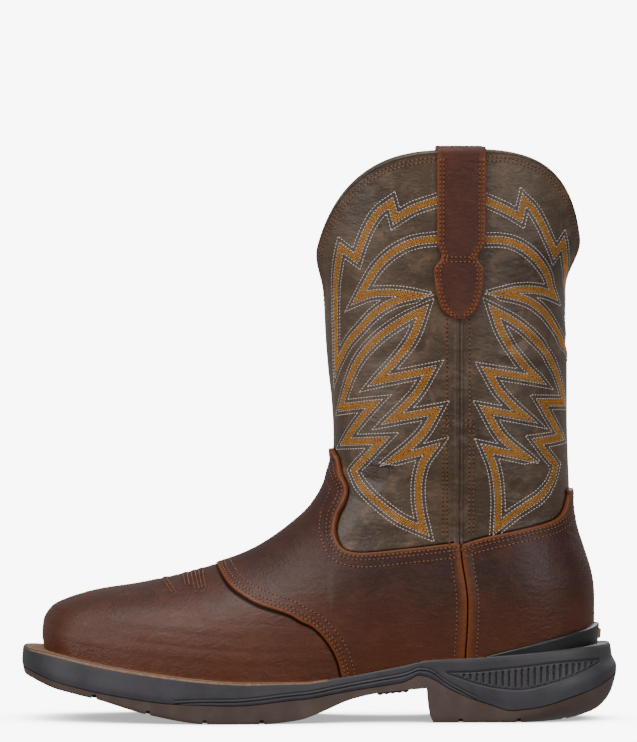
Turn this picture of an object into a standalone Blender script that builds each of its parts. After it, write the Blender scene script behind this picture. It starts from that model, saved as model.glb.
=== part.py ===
"""Western work boot, left foot: pull-on shaft with a deep scallop, saddle vamp,
heel counter, welt, swept midsole and lugged outsole.

Metres, +Z up. The toe points to -X, the lateral side to -Y. The origin lies on
the floor under the middle of the heel.
"""

import math

import bmesh
import bpy
import numpy as np
from mathutils import Matrix, Vector

# Last: the form that every leather piece is pulled over
LAST_LENGTH = 0.2867
HEEL_BACK = 0.0464
BALL_WIDTH = 0.098
WAIST_WIDTH = 0.067
HEEL_WIDTH = 0.067
TOE_WIDTH = 0.070
TOE_ROUNDING = 0.024
HEEL_ROUNDING = 0.046
INSTEP_HEIGHT = 0.114
BULGE_HEIGHT = 0.0707
CREST_LEAN = 0.0049

# Shaft above the ankle
SHAFT_HEIGHT = 0.1643
ANKLE_WIDTH = 0.084
COLLAR_WIDTH = 0.100
SCALLOP_DEPTH = 0.0735
FRONT_FLARE = 0.0069
BACK_FLARE = 0.0086
DIP_ROUNDING = 0.0174

# Form of the collar's curve: powers of its front and back halves, the share of the scallop
# over which it flares; then the power of the shaft's oval and of its widening upward
FRONT_POWER = 2.56
BACK_POWER = 3.49
FLARE_START = 0.35
OVAL_POWER = 2.15
WIDENING_POWER = 1.3

# Height of the sole's top
FOREFOOT_THICKNESS = 0.0217
SEAT_RISE = 0.0138
TOE_SPRING = 0.0154

# Leather
WALL = 0.0020
VAMP_THICKNESS = 0.0012
SADDLE_THICKNESS = 0.0021
COUNTER_THICKNESS = 0.0020
SEAM_RAISE = 0.0010
SEAM_WIDTH = 0.0026
SEAM_GAP = 0.0028
STRAP_WIDTH = 0.0255
STRAP_THICKNESS = 0.0020
STRAP_OUTSIDE = 0.0875
STRAP_INSIDE = 0.045
STRAP_REACH = 0.004
STRAP_PLACE = 0.0678
STRAP_GAP = 0.0012

# Sole parts
WELT_THICKNESS = 0.0026
WELT_INSIDE = 0.005
WELT_REACH = 0.1571
MIDSOLE_THICKNESS = 0.0148
SWOOP_DEPTH = 0.0295
ARCH_HEIGHT = 0.0183
TOE_LIFT = 0.0265
TOE_MARGIN = 0.0125
BALL_MARGIN = 0.0070
WAIST_MARGIN = 0.0036
HEEL_SIDE_MARGIN = 0.0055
HEEL_BACK_MARGIN = 0.0112
SWOOP_FLARE = 0.0032
MIDSOLE_LIP = 0.0008
HEEL_CURVE = 0.0247
HEEL_FADE = 0.0459
HEEL_LENGTH = 0.0856
BREAST_SLOPE = 0.0032
BREAST_BEND = 0.0042
OUTSOLE_BEVEL = 0.0016
OUTSOLE_THINNEST = 0.0035
GROOVE_WIDTH = 0.0026
GROOVE_DEPTH = 0.0022
RIB_COUNT = 22
RIB_SLOT = 0.0009
RIB_DEPTH = 0.0008
RIB_MARGIN = 0.0004
WINDOW_DEPTH = 0.0009
WINDOW_CUT = 0.004
INSOLE_THICKNESS = 0.003
PAD_THICKNESS = 0.0022
PAD_WIDTH = 0.046
PAD_LENGTH = 0.0166
PAD_GAP = 0.0096
STABILISER_THICKNESS = 0.0023
TAB_WIDTH = 0.012
TAB_HEIGHT = 0.0048
TAB_THICKNESS = 0.0010
TAB_LIFT = 0.0457

# Gap between pieces that touch, and over the sole's bent top
CLEAR = 0.0003
SEAT_CLEAR = 0.0006

# Reach of the cutting forms past the toe and heel, and under the floor
CUT_REACH = 0.086
CUT_BELOW = 0.010

# Mesh density
RING_POINTS = 36
RINGS = 21
SOLE_POINTS = 56
DENSE = 160
STRAP_STEPS = 14
PAD_STEPS = 11

# Top line of the sole: along the last from heel to toe, share of SEAT_RISE, share of TOE_SPRING
FEATHER_LINE = (
    (-0.050, 1.400, 0.000),
    (0.067, 1.152, 0.000),
    (0.151, 1.000, 0.000),
    (0.221, 0.884, 0.000),
    (0.291, 0.826, 0.000),
    (0.347, 0.594, 0.000),
    (0.457, 0.174, 0.000),
    (0.531, 0.000, 0.000),
    (0.624, 0.000, 0.000),
    (0.716, 0.000, 0.104),
    (0.809, 0.000, 0.312),
    (0.901, 0.000, 0.584),
    (1.005, 0.000, 1.000),
    (1.060, 0.000, 1.140),
)

# Outline of the last from below: along, width, middle as share of BALL_WIDTH towards the medial side
OUTLINE = (
    (0.00, 0.96 * HEEL_WIDTH, 0.000),
    (0.15, 1.00 * HEEL_WIDTH, 0.000),
    (0.40, 1.00 * WAIST_WIDTH, -0.043),
    (0.55, 0.86 * BALL_WIDTH, -0.030),
    (0.69, 1.00 * BALL_WIDTH, 0.000),
    (0.82, 0.93 * BALL_WIDTH, 0.028),
    (0.92, 1.08 * TOE_WIDTH, 0.044),
    (1.00, 0.94 * TOE_WIDTH, 0.055),
)

# Section of the foot: along, bulge over the feather line, power across the top, power of its closing
SECTIONS = (
    (0.00, 0.10, 2.4, 2.0),
    (0.20, 0.10, 2.4, 2.0),
    (0.42, 0.13, 2.2, 1.7),
    (0.58, 0.06, 2.2, 1.6),
    (0.72, 0.03, 2.6, 1.8),
    (0.88, 0.03, 3.2, 2.1),
    (1.00, 0.03, 3.6, 2.3),
)

# Lean of the crest towards the medial side: along, share of CREST_LEAN
CREST = (
    (0.00, 0.0),
    (0.35, 0.2),
    (0.70, 1.0),
    (1.00, 0.6),
)

# Rings of the upper, from the feather line to the collar, front point then back point:
# along, share of INSTEP_HEIGHT, share of SHAFT_HEIGHT, twice, then how far the ring follows
# the feather line, the shaft's oval and the scallop
UPPER_RINGS = (
    (1.000, 0.000, 0.000, 0.000, 0.000, 0.000, 1.00, 0.00, 0.00),
    (1.005, 0.070, 0.000, -0.003, 0.059, 0.000, 0.92, 0.00, 0.00),
    (1.003, 0.127, 0.000, -0.004, 0.115, 0.000, 0.84, 0.00, 0.00),
    (0.990, 0.189, 0.000, -0.004, 0.166, 0.000, 0.76, 0.00, 0.00),
    (0.960, 0.245, 0.000, -0.004, 0.217, 0.000, 0.67, 0.00, 0.00),
    (0.905, 0.314, 0.000, -0.003, 0.269, 0.000, 0.57, 0.00, 0.00),
    (0.827, 0.378, 0.000, 0.000, 0.320, 0.000, 0.46, 0.02, 0.00),
    (0.753, 0.444, 0.000, 0.005, 0.371, 0.000, 0.35, 0.06, 0.00),
    (0.676, 0.518, 0.000, 0.012, 0.427, 0.000, 0.24, 0.12, 0.00),
    (0.609, 0.593, 0.000, 0.019, 0.482, 0.000, 0.14, 0.22, 0.00),
    (0.546, 0.702, 0.000, 0.026, 0.538, 0.000, 0.06, 0.36, 0.00),
    (0.504, 0.801, 0.000, 0.031, 0.599, 0.000, 0.02, 0.54, 0.00),
    (0.479, 0.906, 0.000, 0.034, 0.664, 0.000, 0.00, 0.74, 0.00),
    (0.471, 1.000, 0.000, 0.035, 0.752, 0.000, 0.00, 0.90, 0.00),
    (0.471, 1.000, 0.077, 0.037, 0.868, 0.000, 0.00, 1.00, 0.10),
    (0.474, 1.000, 0.184, 0.039, 1.000, 0.038, 0.00, 1.00, 0.30),
    (0.481, 1.000, 0.297, 0.039, 1.000, 0.183, 0.00, 1.00, 0.55),
    (0.486, 1.000, 0.410, 0.043, 1.000, 0.312, 0.00, 1.00, 0.80),
    (0.489, 1.000, 0.532, 0.042, 1.000, 0.468, 0.00, 1.00, 1.00),
)

# Side view lines: along, share of the ankle's height
SADDLE_FRONT = (
    (0.700, 0.640),
    (0.6885, 0.602),
    (0.672, 0.542),
    (0.656, 0.504),
    (0.630, 0.469),
    (0.602, 0.442),
    (0.554, 0.412),
    (0.531, 0.386),
    (0.507, 0.362),
    (0.484, 0.312),
    (0.467, 0.250),
    (0.458, 0.180),
    (0.450, 0.060),
)
SADDLE_TOP = (
    (0.500, 1.090),
    (0.476, 1.054),
    (0.463, 1.015),
    (0.4547, 0.950),
    (0.4442, 0.892),
    (0.4504, 0.831),
    (0.4612, 0.785),
    (0.4655, 0.733),
    (0.4594, 0.685),
    (0.4464, 0.658),
    (0.4131, 0.650),
    (0.3401, 0.666),
    (0.2856, 0.679),
    (0.238, 0.692),
)
COUNTER_TOP = (
    (0.237, 0.683),
    (0.193, 0.710),
    (0.140, 0.733),
    (0.0785, 0.763),
    (0.0575, 0.785),
    (0.0468, 0.817),
    (0.0405, 0.862),
    (0.0342, 0.890),
    (-0.040, 0.930),
)
LOWER_SEAM = (
    (0.2390, 0.700),
    (0.2350, 0.613),
    (0.2282, 0.527),
    (0.2250, 0.456),
    (0.2262, 0.351),
    (0.2292, 0.254),
    (0.2300, 0.060),
)
STABILISER_TOP = (
    (0.2068, 0.252),
    (0.1377, 0.288),
    (0.0675, 0.328),
    (0.0120, 0.358),
    (-0.0140, 0.381),
    (-0.0600, 0.392),
)

# Width of the sole past the last: along, margin
MARGINS = (
    (0.00, HEEL_BACK_MARGIN),
    (0.05, 0.55 * HEEL_BACK_MARGIN + 0.45 * HEEL_SIDE_MARGIN),
    (0.14, HEEL_SIDE_MARGIN),
    (0.42, WAIST_MARGIN),
    (0.68, BALL_MARGIN),
    (0.88, 0.80 * BALL_MARGIN + 0.20 * TOE_MARGIN),
    (0.97, 0.25 * BALL_MARGIN + 0.75 * TOE_MARGIN),
    (1.00, TOE_MARGIN),
)

# Stations of the sole run from 0 at the heel's back over 1 at the heel breast to 2 at the toe.
# Lower edge of the midsole under the feather line: station, share of MIDSOLE_THICKNESS,
# share of SWOOP_DEPTH
MIDSOLE_DROP = (
    (-0.174, 0.000, 0.560),
    (-0.054, 0.000, 0.740),
    (0.134, 0.000, 0.878),
    (0.318, 0.000, 0.983),
    (0.469, 0.000, 1.000),
    (0.633, 0.000, 0.834),
    (0.791, 0.000, 0.640),
    (0.918, 0.000, 0.430),
    (1.005, 0.300, 0.128),
    (1.028, 0.470, 0.000),
    (1.069, 0.590, 0.000),
    (1.200, 0.540, 0.000),
    (1.331, 0.610, 0.000),
    (1.464, 0.790, 0.000),
    (1.595, 0.890, 0.000),
    (1.728, 1.000, 0.000),
    (1.859, 1.000, 0.000),
    (1.964, 0.990, 0.000),
    (2.064, 0.700, 0.000),
)

# Side of the midsole: share of its height down from the top, flare at the heel's back, lip
MIDSOLE_SIDE = (
    (0.00, 0.00, 0.00),
    (0.10, 0.08, 0.70),
    (0.38, 0.22, 1.00),
    (0.74, 0.88, 1.30),
    (1.00, 1.00, 0.80),
)

# Side of the outsole: share of its height, shares of HEEL_CURVE at the heel's back and of
# OUTSOLE_BEVEL round the rest
OUTSOLE_SIDE = (
    (1.000, 0.00, 0.0),
    (0.650, 0.10, 0.2),
    (0.310, 0.39, 0.4),
    (0.120, 0.76, 0.6),
    (0.000, 1.00, 1.0),
)

# Underside of the forefoot: along, share of TOE_LIFT
TOE_UNDERSIDE = (
    (0.700, 0.00),
    (0.716, 0.01),
    (0.809, 0.18),
    (0.901, 0.46),
    (0.975, 0.69),
    (1.003, 0.78),
    (1.045, 0.92),
)

# Underside of the arch, from the ball to the heel breast: station, share of ARCH_HEIGHT
ARCH_LINE = (
    (1.416, 0.00),
    (1.373, 0.05),
    (1.331, 0.12),
    (1.279, 0.32),
    (1.200, 0.68),
    (1.122, 0.87),
    (1.000, 1.00),
)

# Cross grooves of the outsole, as stations of the sole
GROOVES = (1.872, 1.731, 1.582, 1.433, 0.794, 0.436, 0.151)

# Ribbed window in the midsole's side: station, then lower and upper edge as shares of SWOOP_DEPTH
WINDOW = (
    (0.878, 0.250, 0.235),
    (0.804, 0.330, 0.240),
    (0.693, 0.455, 0.243),
    (0.553, 0.575, 0.238),
    (0.412, 0.630, 0.230),
    (0.228, 0.560, 0.215),
    (0.040, 0.420, 0.235),
    (-0.067, 0.300, 0.250),
)

# Pull strap: share of its length outside from the top down, share of STRAP_WIDTH, shift as share
STRAP_SHAPE = (
    (0.000, 1.000, 0.000),
    (0.540, 0.990, -0.010),
    (0.625, 0.740, -0.045),
    (0.702, 1.020, -0.060),
    (0.790, 0.980, -0.055),
    (0.930, 0.740, -0.050),
    (0.975, 0.460, -0.045),
    (1.000, 0.160, -0.040),
)

RING_TABLE = tuple((i,) + row for i, row in enumerate(UPPER_RINGS))
LAST_ROW = len(UPPER_RINGS) - 1

# Instep ridge: along, share of INSTEP_HEIGHT; then its slope on behind the ankle
RIDGE = tuple((row[0], row[1]) for row in UPPER_RINGS[1:14][::-1])
RIDGE_BEHIND = 9.0


def through(table, column, at):
    """Smooth line through one column of a table, without overshoot."""
    keys = np.array([row[0] for row in table], dtype=float)
    values = np.array([row[column] for row in table], dtype=float)
    if keys[0] > keys[-1]:
        keys = keys[::-1]
        values = values[::-1]
    slopes = np.diff(values) / np.diff(keys)
    tangents = np.concatenate((slopes[:1], np.zeros(len(keys) - 2), slopes[-1:]))
    for i in range(1, len(keys) - 1):
        if slopes[i - 1] * slopes[i] > 0.0:
            tangents[i] = 2.0 * slopes[i - 1] * slopes[i] / (slopes[i - 1] + slopes[i])
    at = np.clip(np.asarray(at, dtype=float), keys[0], keys[-1])
    span = np.clip(np.searchsorted(keys, at, side="right") - 1, 0, len(keys) - 2)
    width = np.diff(keys)[span]
    p = (at - keys[span]) / width
    rise = values[span + 1] - values[span]
    start = tangents[span] * width
    end = tangents[span + 1] * width
    return values[span] + p * start + p**2 * (3 * rise - 2 * start - end) + p**3 * (start + end - 2 * rise)


def place(along):
    """X of a share along the last."""
    return HEEL_BACK - np.asarray(along, dtype=float) * LAST_LENGTH


def share(x):
    """Share along the last at an X."""
    return (HEEL_BACK - np.asarray(x, dtype=float)) / LAST_LENGTH


def sole_place(station):
    """X of a station of the sole."""
    station = np.asarray(station, dtype=float)
    behind = HEEL_BACK - station * HEEL_LENGTH
    ahead = HEEL_BACK - HEEL_LENGTH - (station - 1.0) * (LAST_LENGTH - HEEL_LENGTH)
    return np.where(station < 1.0, behind, ahead)


def sole_station(x):
    """Station of the sole at an X."""
    back = HEEL_BACK - np.asarray(x, dtype=float)
    return np.where(back < HEEL_LENGTH, back / HEEL_LENGTH,
                    1.0 + (back - HEEL_LENGTH) / (LAST_LENGTH - HEEL_LENGTH))


def sole_top(x):
    """Height of the sole's top at an X."""
    along = share(x)
    seat = through(FEATHER_LINE, 1, along) * SEAT_RISE
    spring = through(FEATHER_LINE, 2, along) * TOE_SPRING
    return FOREFOOT_THICKNESS + seat + spring


def round_end(distance, length, power):
    """Share of the width that is left near a rounded end."""
    inside = np.clip(1.0 - distance / length, 0.0, 1.0)
    return (1.0 - inside**power) ** (1.0 / power)


def last_half_width(along):
    """Half the last's width at the feather line."""
    along = np.clip(along, 0.0, 1.0)
    heel = round_end(along * LAST_LENGTH, HEEL_ROUNDING, 2.2)
    toe = round_end((1.0 - along) * LAST_LENGTH, TOE_ROUNDING, 2.8)
    return 0.5 * through(OUTLINE, 1, along) * heel * toe


def last_middle(along):
    """Y of the last's middle line."""
    return through(OUTLINE, 2, along) * BALL_WIDTH


def ridge_rise(along):
    """Rise of the instep ridge over the feather line, running on upward behind the ankle."""
    behind = np.maximum(RIDGE[0][0] - along, 0.0)
    return (through(RIDGE, 1, along) + RIDGE_BEHIND * behind) * INSTEP_HEIGHT


def dip_height(s):
    """Height of the collar's front and back dips, read across the ring."""
    front_along, front_in, front_up, back_along, back_in, back_up = UPPER_RINGS[-1][:6]
    front = sole_top(place(front_along)) + front_in * INSTEP_HEIGHT + front_up * SHAFT_HEIGHT
    back = sole_top(place(back_along)) + back_in * INSTEP_HEIGHT + back_up * SHAFT_HEIGHT
    return front + (back - front) * s


def upper_point(row, s, side):
    """Points of the upper's outer face: row up the ring table, s from front to back, side -1 or 1."""
    row = np.asarray(row, dtype=float)
    s = np.asarray(s, dtype=float)
    front_along, front_in, front_up, back_along, back_in, back_up, follow, oval, scallop = (
        through(RING_TABLE, column, row) for column in range(1, 10))
    front_x = place(front_along)
    back_x = place(back_along)
    front_z = sole_top(front_x) + front_in * INSTEP_HEIGHT + front_up * SHAFT_HEIGHT
    back_z = sole_top(back_x) + back_in * INSTEP_HEIGHT + back_up * SHAFT_HEIGHT
    e = 2.0 * s - 1.0
    power = np.where(e < 0.0, FRONT_POWER, BACK_POWER)
    crown = (1.0 - np.abs(e) ** power) ** (1.0 / power)
    rounding = DIP_ROUNDING / SCALLOP_DEPTH
    crown_up = (np.sqrt(crown**2 + rounding**2) - rounding) / (math.sqrt(1.0 + rounding**2) - rounding)
    x = front_x + (back_x - front_x) * s
    sag = sole_top(x) - (sole_top(front_x) * (1.0 - s) + sole_top(back_x) * s)
    z = front_z + (back_z - front_z) * s + follow * sag + scallop * SCALLOP_DEPTH * crown_up
    over_dip = np.clip((z - dip_height(s)) / (FLARE_START * SCALLOP_DEPTH), 0.0, 1.0)
    flare = np.where(e < 0.0, FRONT_FLARE, BACK_FLARE) * e * over_dip**2 * (3.0 - 2.0 * over_dip)
    x = x + flare
    along = share(x)
    toe_along = np.maximum(front_along, np.where(row > 2.0, 1.003, front_along))
    plan = (along - back_along) / (toe_along - back_along)
    up = (z - sole_top(x)) / ridge_rise(along)
    up = np.clip(up, 0.0, 1.0)
    bulge = through(SECTIONS, 1, along) * np.sin(np.pi * np.clip((z - sole_top(x)) / BULGE_HEIGHT, 0.0, 1.0))
    closing = (1.0 - up ** through(SECTIONS, 2, along)) ** (1.0 / through(SECTIONS, 3, along))
    foot = last_half_width(plan) * (1.0 + bulge) * closing
    shaft_share = np.clip((row - 12.0) / (LAST_ROW - 12.0), 0.0, 1.0)
    half_width = 0.5 * (ANKLE_WIDTH + (COLLAR_WIDTH - ANKLE_WIDTH) * shaft_share**WIDENING_POWER)
    shaft = half_width * (1.0 - np.abs(e) ** OVAL_POWER) ** (1.0 / OVAL_POWER)
    middle = (last_middle(along) + CREST_LEAN * through(CREST, 1, along) * up) * (1.0 - oval)
    y = middle + side * (foot * (1.0 - oval) + shaft * oval)
    return np.stack((x, y, z), axis=-1)



def along_line(points):
    """Distance from the start of a dense line to each of its points."""
    return np.concatenate(((0.0,), np.cumsum(np.linalg.norm(np.diff(points, axis=0), axis=1))))


def spread_shares(points, count, turn_weight):
    """Shares of a line's length that space points evenly by length and turning."""
    steps = np.diff(points, axis=0)
    directions = steps / np.maximum(np.linalg.norm(steps, axis=1), 1e-9)[:, None]
    cosines = np.clip(np.sum(directions[1:] * directions[:-1], axis=1), -1.0, 1.0)
    turns = np.concatenate(((0.0, 0.0), np.cumsum(np.arccos(cosines))))
    distance = along_line(points)
    weight = distance / distance[-1] + turn_weight * turns / math.pi
    wanted = np.linspace(0.0, weight[-1], count + 1)
    return np.interp(wanted, weight, distance / distance[-1])


def spread(points, shares):
    """Points at shares of the length of a dense line."""
    distance = along_line(points)
    return np.stack([np.interp(shares * distance[-1], distance, points[:, k]) for k in range(3)], axis=-1)


def upper_side(row, side):
    """Dense line of one side of a ring, from front to back."""
    return upper_point(row, 0.5 - 0.5 * np.cos(np.linspace(0.0, math.pi, DENSE + 1)), side)


def upper_ring(row, count):
    """One ring of the upper: front, lateral side, back, medial side."""
    half = count // 2
    up = min(1.0, row / LAST_ROW)
    halves = []
    for side in (-1.0, 1.0):
        shares = spread_shares(upper_side(0.0, side), half, 0.45)
        shares = shares * (1.0 - up) + np.linspace(0.0, 1.0, half + 1) * up
        halves.append(spread(upper_side(row, side), shares))
    return np.concatenate((halves[0], halves[1][-2:0:-1]))


def upper_face(offset, count, rows):
    """Rings of a face that lies at an offset from the upper's outer face."""
    rings = []
    for row in rows:
        ring = upper_ring(row, count)
        above = upper_ring(min(row + 0.05, LAST_ROW), count)
        below = upper_ring(max(row - 0.05, 0.0), count)
        around = np.roll(ring, -1, axis=0) - np.roll(ring, 1, axis=0)
        normal = np.cross(around, above - below)
        normal[:, 2] *= min(1.0, row / 1.5)
        normal /= np.linalg.norm(normal, axis=1)[:, None]
        moved = ring + offset * normal
        low = max(0.0, 1.0 - row / 2.0)
        moved[:, 2] += low * (sole_top(moved[:, 0]) - sole_top(ring[:, 0])) + SEAT_CLEAR * low
        rings.append(moved)
    return rings


def upper_rows():
    """Rows of the ring table where the solid has its rings, closer at the toe and ankle."""
    return np.linspace(0.0, LAST_ROW, RINGS)


def loft(name, rings, closed):
    """Solid through rings of points; closed joins the last ring to the first one."""
    bm = bmesh.new()
    number = bm.verts.layers.int.new("number")
    first = []
    for i, point in enumerate(rings[0]):
        vertex = bm.verts.new(point)
        vertex[number] = i
        first.append(vertex)
    count = len(first)
    edges = [bm.edges.new((first[i], first[(i + 1) % count])) for i in range(count)]
    last = first
    for ring in rings[1:]:
        made = bmesh.ops.extrude_edge_only(bm, edges=edges)["geom"]
        edges = [g for g in made if isinstance(g, bmesh.types.BMEdge)]
        last = sorted((g for g in made if isinstance(g, bmesh.types.BMVert)), key=lambda v: v[number])
        edges = [e for e in edges if all(v in last for v in e.verts)]
        for vertex in last:
            vertex.co = ring[vertex[number]]
    if closed:
        bmesh.ops.remove_doubles(bm, verts=first + last, dist=1e-7)
    else:
        for loop in (first, last):
            for i in range(count // 2):
                corners = (loop[i], loop[i + 1], loop[count - i - 1], loop[(count - i) % count])
                bm.faces.new(dict.fromkeys(corners))
    bmesh.ops.recalc_face_normals(bm, faces=bm.faces)
    bmesh.ops.triangulate(bm, faces=bm.faces)
    mesh = bpy.data.meshes.new(name)
    bm.to_mesh(mesh)
    bm.free()
    return mesh


def new_object(name, mesh, material=None):
    """Object in the scene with its own material."""
    obj = bpy.data.objects.new(name, mesh)
    bpy.context.scene.collection.objects.link(obj)
    if material is not None:
        mesh.materials.append(material)
        mesh.shade_smooth()
        mesh.set_sharp_from_angle(angle=math.radians(40.0))
    return obj


def new_material(name, colour, roughness):
    """Principled material from an sRGB colour."""
    linear = [c / 12.92 if c <= 0.04045 else ((c + 0.055) / 1.055) ** 2.4 for c in colour]
    material = bpy.data.materials.new(name)
    material.use_nodes = True
    shader = material.node_tree.nodes["Principled BSDF"]
    shader.inputs["Base Color"].default_value = (*linear, 1.0)
    shader.inputs["Roughness"].default_value = roughness
    material.diffuse_color = (*linear, 1.0)
    return material


def cutter(name, mesh):
    """Object that only shapes others."""
    obj = new_object(name, mesh)
    obj.hide_render = True
    obj.display_type = "WIRE"
    return obj


def shape_by(obj, tool, operation):
    """Boolean of an object by a cutter."""
    modifier = obj.modifiers.new(tool.name, "BOOLEAN")
    modifier.operation = operation
    modifier.solver = "EXACT"
    modifier.object = tool


def side_prism(name, outline, y_low, y_high):
    """Prism across the boot over an outline of X and Z."""
    bm = bmesh.new()
    corners = [bm.verts.new((x, y_low, z)) for x, z in outline]
    face = bm.faces.new(corners)
    made = bmesh.ops.extrude_face_region(bm, geom=[face])["geom"]
    moved = [g for g in made if isinstance(g, bmesh.types.BMVert)]
    bmesh.ops.translate(bm, verts=moved, vec=(0.0, y_high - y_low, 0.0))
    bmesh.ops.recalc_face_normals(bm, faces=bm.faces)
    mesh = bpy.data.meshes.new(name)
    bm.to_mesh(mesh)
    bm.free()
    return cutter(name, mesh)


def ankle_height():
    """Height where the instep turns into the shaft."""
    return float(sole_top(place(RIDGE[0][0]))) + INSTEP_HEIGHT


def side_line(table, shift=0.0, steps=2):
    """Smooth line of X and Z through a side view table, shifted along the boot."""
    points = np.array([(place(row[0]) + shift, row[1] * ankle_height()) for row in table])
    line = []
    for i in range(len(points) - 1):
        before = points[max(i - 1, 0)]
        after = points[min(i + 2, len(points) - 1)]
        start = 0.5 * (points[i + 1] - before)
        end = 0.5 * (after - points[i])
        rise = points[i + 1] - points[i]
        for p in np.arange(steps) / steps:
            line.append(points[i] + p * start + p**2 * (3 * rise - 2 * start - end)
                        + p**3 * (start + end - 2 * rise))
    line.append(points[-1])
    return [tuple(point) for point in line]


def shell_mesh(name, low, high, rows):
    """Closed shell between two offsets of the upper's outer face."""
    outer = upper_face(high, RING_POINTS, rows)
    inner = upper_face(low, RING_POINTS, rows)
    return loft(name, outer + inner[::-1] + outer[:1], closed=True)


def make_upper(leather):
    """Hollow upper, open at the collar and underneath."""
    return new_object("upper", shell_mesh("upper", -WALL, 0.0, upper_rows()), leather)


def make_overlay(name, low, high, rows, outline, material):
    """Piece over the upper, cut to an outline seen from the side."""
    obj = new_object(name, shell_mesh(name, low, high, rows), material)
    half = COLLAR_WIDTH
    shape_by(obj, side_prism(name + "_cutter", outline, -half, half), "INTERSECT")
    return obj


def make_overlays(toe_leather, saddle_leather, heel_leather):
    """Toe vamp, saddle and counter, side by side over the upper."""
    rows = [row for row in upper_rows() if row < 15.5]
    front = place(1.0) - CUT_REACH
    back = place(0.0) + CUT_REACH
    low = -CUT_BELOW
    edge = side_line(SADDLE_FRONT)
    toe_outline = edge + [(edge[-1][0], low), (front, low), (front, edge[0][1])]
    make_overlay("toe_vamp", CLEAR, CLEAR + VAMP_THICKNESS, rows, toe_outline, toe_leather)
    edge = side_line(SADDLE_FRONT, shift=CLEAR * 1.5)
    top = side_line(SADDLE_TOP)
    seam = side_line(LOWER_SEAM, shift=-CLEAR)
    ahead = [(front, edge[0][1]), (front, top[0][1])]
    saddle_outline = edge[::-1] + ahead + top + seam[1:] + [(seam[-1][0], low), (edge[-1][0], low)]
    make_overlay("saddle", CLEAR, CLEAR + SADDLE_THICKNESS, rows, saddle_outline, saddle_leather)
    seam = side_line(LOWER_SEAM, shift=CLEAR)
    top = side_line(COUNTER_TOP)
    counter_outline = seam[1:][::-1] + top + [(back, top[-1][1]), (back, low), (seam[-1][0], low)]
    make_overlay("counter", CLEAR, CLEAR + COUNTER_THICKNESS, rows, counter_outline, heel_leather)


def make_stabiliser(rubber, tab_material):
    """Wedge round the heel above the sole, with its small tab at the back."""
    rows = [row for row in upper_rows() if row < 7.0]
    inside = 2.0 * CLEAR + COUNTER_THICKNESS
    outside = inside + STABILISER_THICKNESS
    top = side_line(STABILISER_TOP)
    outline = top + [(top[-1][0], -CUT_BELOW), (top[0][0], -CUT_BELOW)]
    make_overlay("heel_stabiliser", inside, outside, rows, outline, rubber)
    face = outside + CLEAR
    low = TAB_LIFT - 0.5 * TAB_HEIGHT
    high = TAB_LIFT + 0.5 * TAB_HEIGHT
    ahead = HEEL_BACK - TAB_WIDTH
    behind = HEEL_BACK + CUT_REACH
    corners = [(ahead, low), (behind, low), (behind, high), (ahead, high)]
    tab = new_object("heel_tab", shell_mesh("heel_tab", face, face + TAB_THICKNESS, rows), tab_material)
    shape_by(tab, side_prism("heel_tab_cutter", corners, -0.5 * TAB_WIDTH, 0.5 * TAB_WIDTH), "INTERSECT")


def make_side_seams(leather):
    """Raised strip down each side of the shaft, from the strap's tip to the saddle."""
    rows = upper_rows()[-12:]
    middle = HEEL_BACK - STRAP_PLACE
    top = strap_top() - STRAP_OUTSIDE - STRAP_GAP
    bottom = SADDLE_TOP[-1][1] * ankle_height() + SEAM_GAP
    half = 0.5 * SEAM_WIDTH
    outline = [(middle - half, bottom), (middle + half, bottom), (middle + half, top), (middle - half, top)]
    for name, low, high in (("side_seam_lateral", -COLLAR_WIDTH, 0.0), ("side_seam_medial", 0.0, COLLAR_WIDTH)):
        obj = new_object(name, shell_mesh(name, CLEAR, CLEAR + SEAM_RAISE, rows), leather)
        shape_by(obj, side_prism(name + "_cutter", outline, low, high), "INTERSECT")


def find_on_upper(x, z, side):
    """Rows and s of the points of the upper that lie at given X and Z, by Newton steps."""
    row = np.full(np.shape(x), 0.8 * LAST_ROW)
    s = np.full(np.shape(x), 0.5)
    step = 1e-4
    for _ in range(30):
        here = upper_point(row, s, side)
        by_row = (upper_point(row + step, s, side) - here) / step
        by_s = (upper_point(row, s + step, side) - here) / step
        miss_x = x - here[..., 0]
        miss_z = z - here[..., 2]
        area = by_row[..., 0] * by_s[..., 2] - by_row[..., 2] * by_s[..., 0]
        row = row + (miss_x * by_s[..., 2] - miss_z * by_s[..., 0]) / area
        s = s + (by_row[..., 0] * miss_z - by_row[..., 2] * miss_x) / area
        row = np.clip(row, 1.0, LAST_ROW - 2.0 * step)
        s = np.clip(s, 0.02, 0.98)
    return row, s


def frame_on_upper(x, z, side):
    """Points of the upper at given X and Z, and its outward normals there."""
    row, s = find_on_upper(x, z, side)
    step = 1e-4
    here = upper_point(row, s, side)
    normal = np.cross(upper_point(row, s + step, side) - here, upper_point(row + step, s, side) - here)
    normal = normal / np.linalg.norm(normal, axis=-1)[..., None]
    return here, normal * np.sign(normal[..., 1:2] * side)


def strap_top():
    """Height of the collar beside the strap."""
    return float(upper_point(LAST_ROW, 0.5, -1.0)[2])


def strap_stations():
    """Down the strap: height below the collar, how far it has turned over the edge, width, shift."""
    stations = []
    for p in np.linspace(1.0, 0.0, STRAP_STEPS):
        width = STRAP_WIDTH * float(through(STRAP_SHAPE, 1, p))
        shift = STRAP_WIDTH * float(through(STRAP_SHAPE, 2, p))
        stations.append((p * STRAP_OUTSIDE, 0.0, width, shift))
    for turn in np.linspace(0.0, math.pi, 6)[1:]:
        stations.append((0.0, turn, STRAP_WIDTH, 0.0))
    for p in (0.5, 1.0):
        stations.append((p * STRAP_INSIDE, math.pi, STRAP_WIDTH, 0.0))
    return stations


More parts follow.
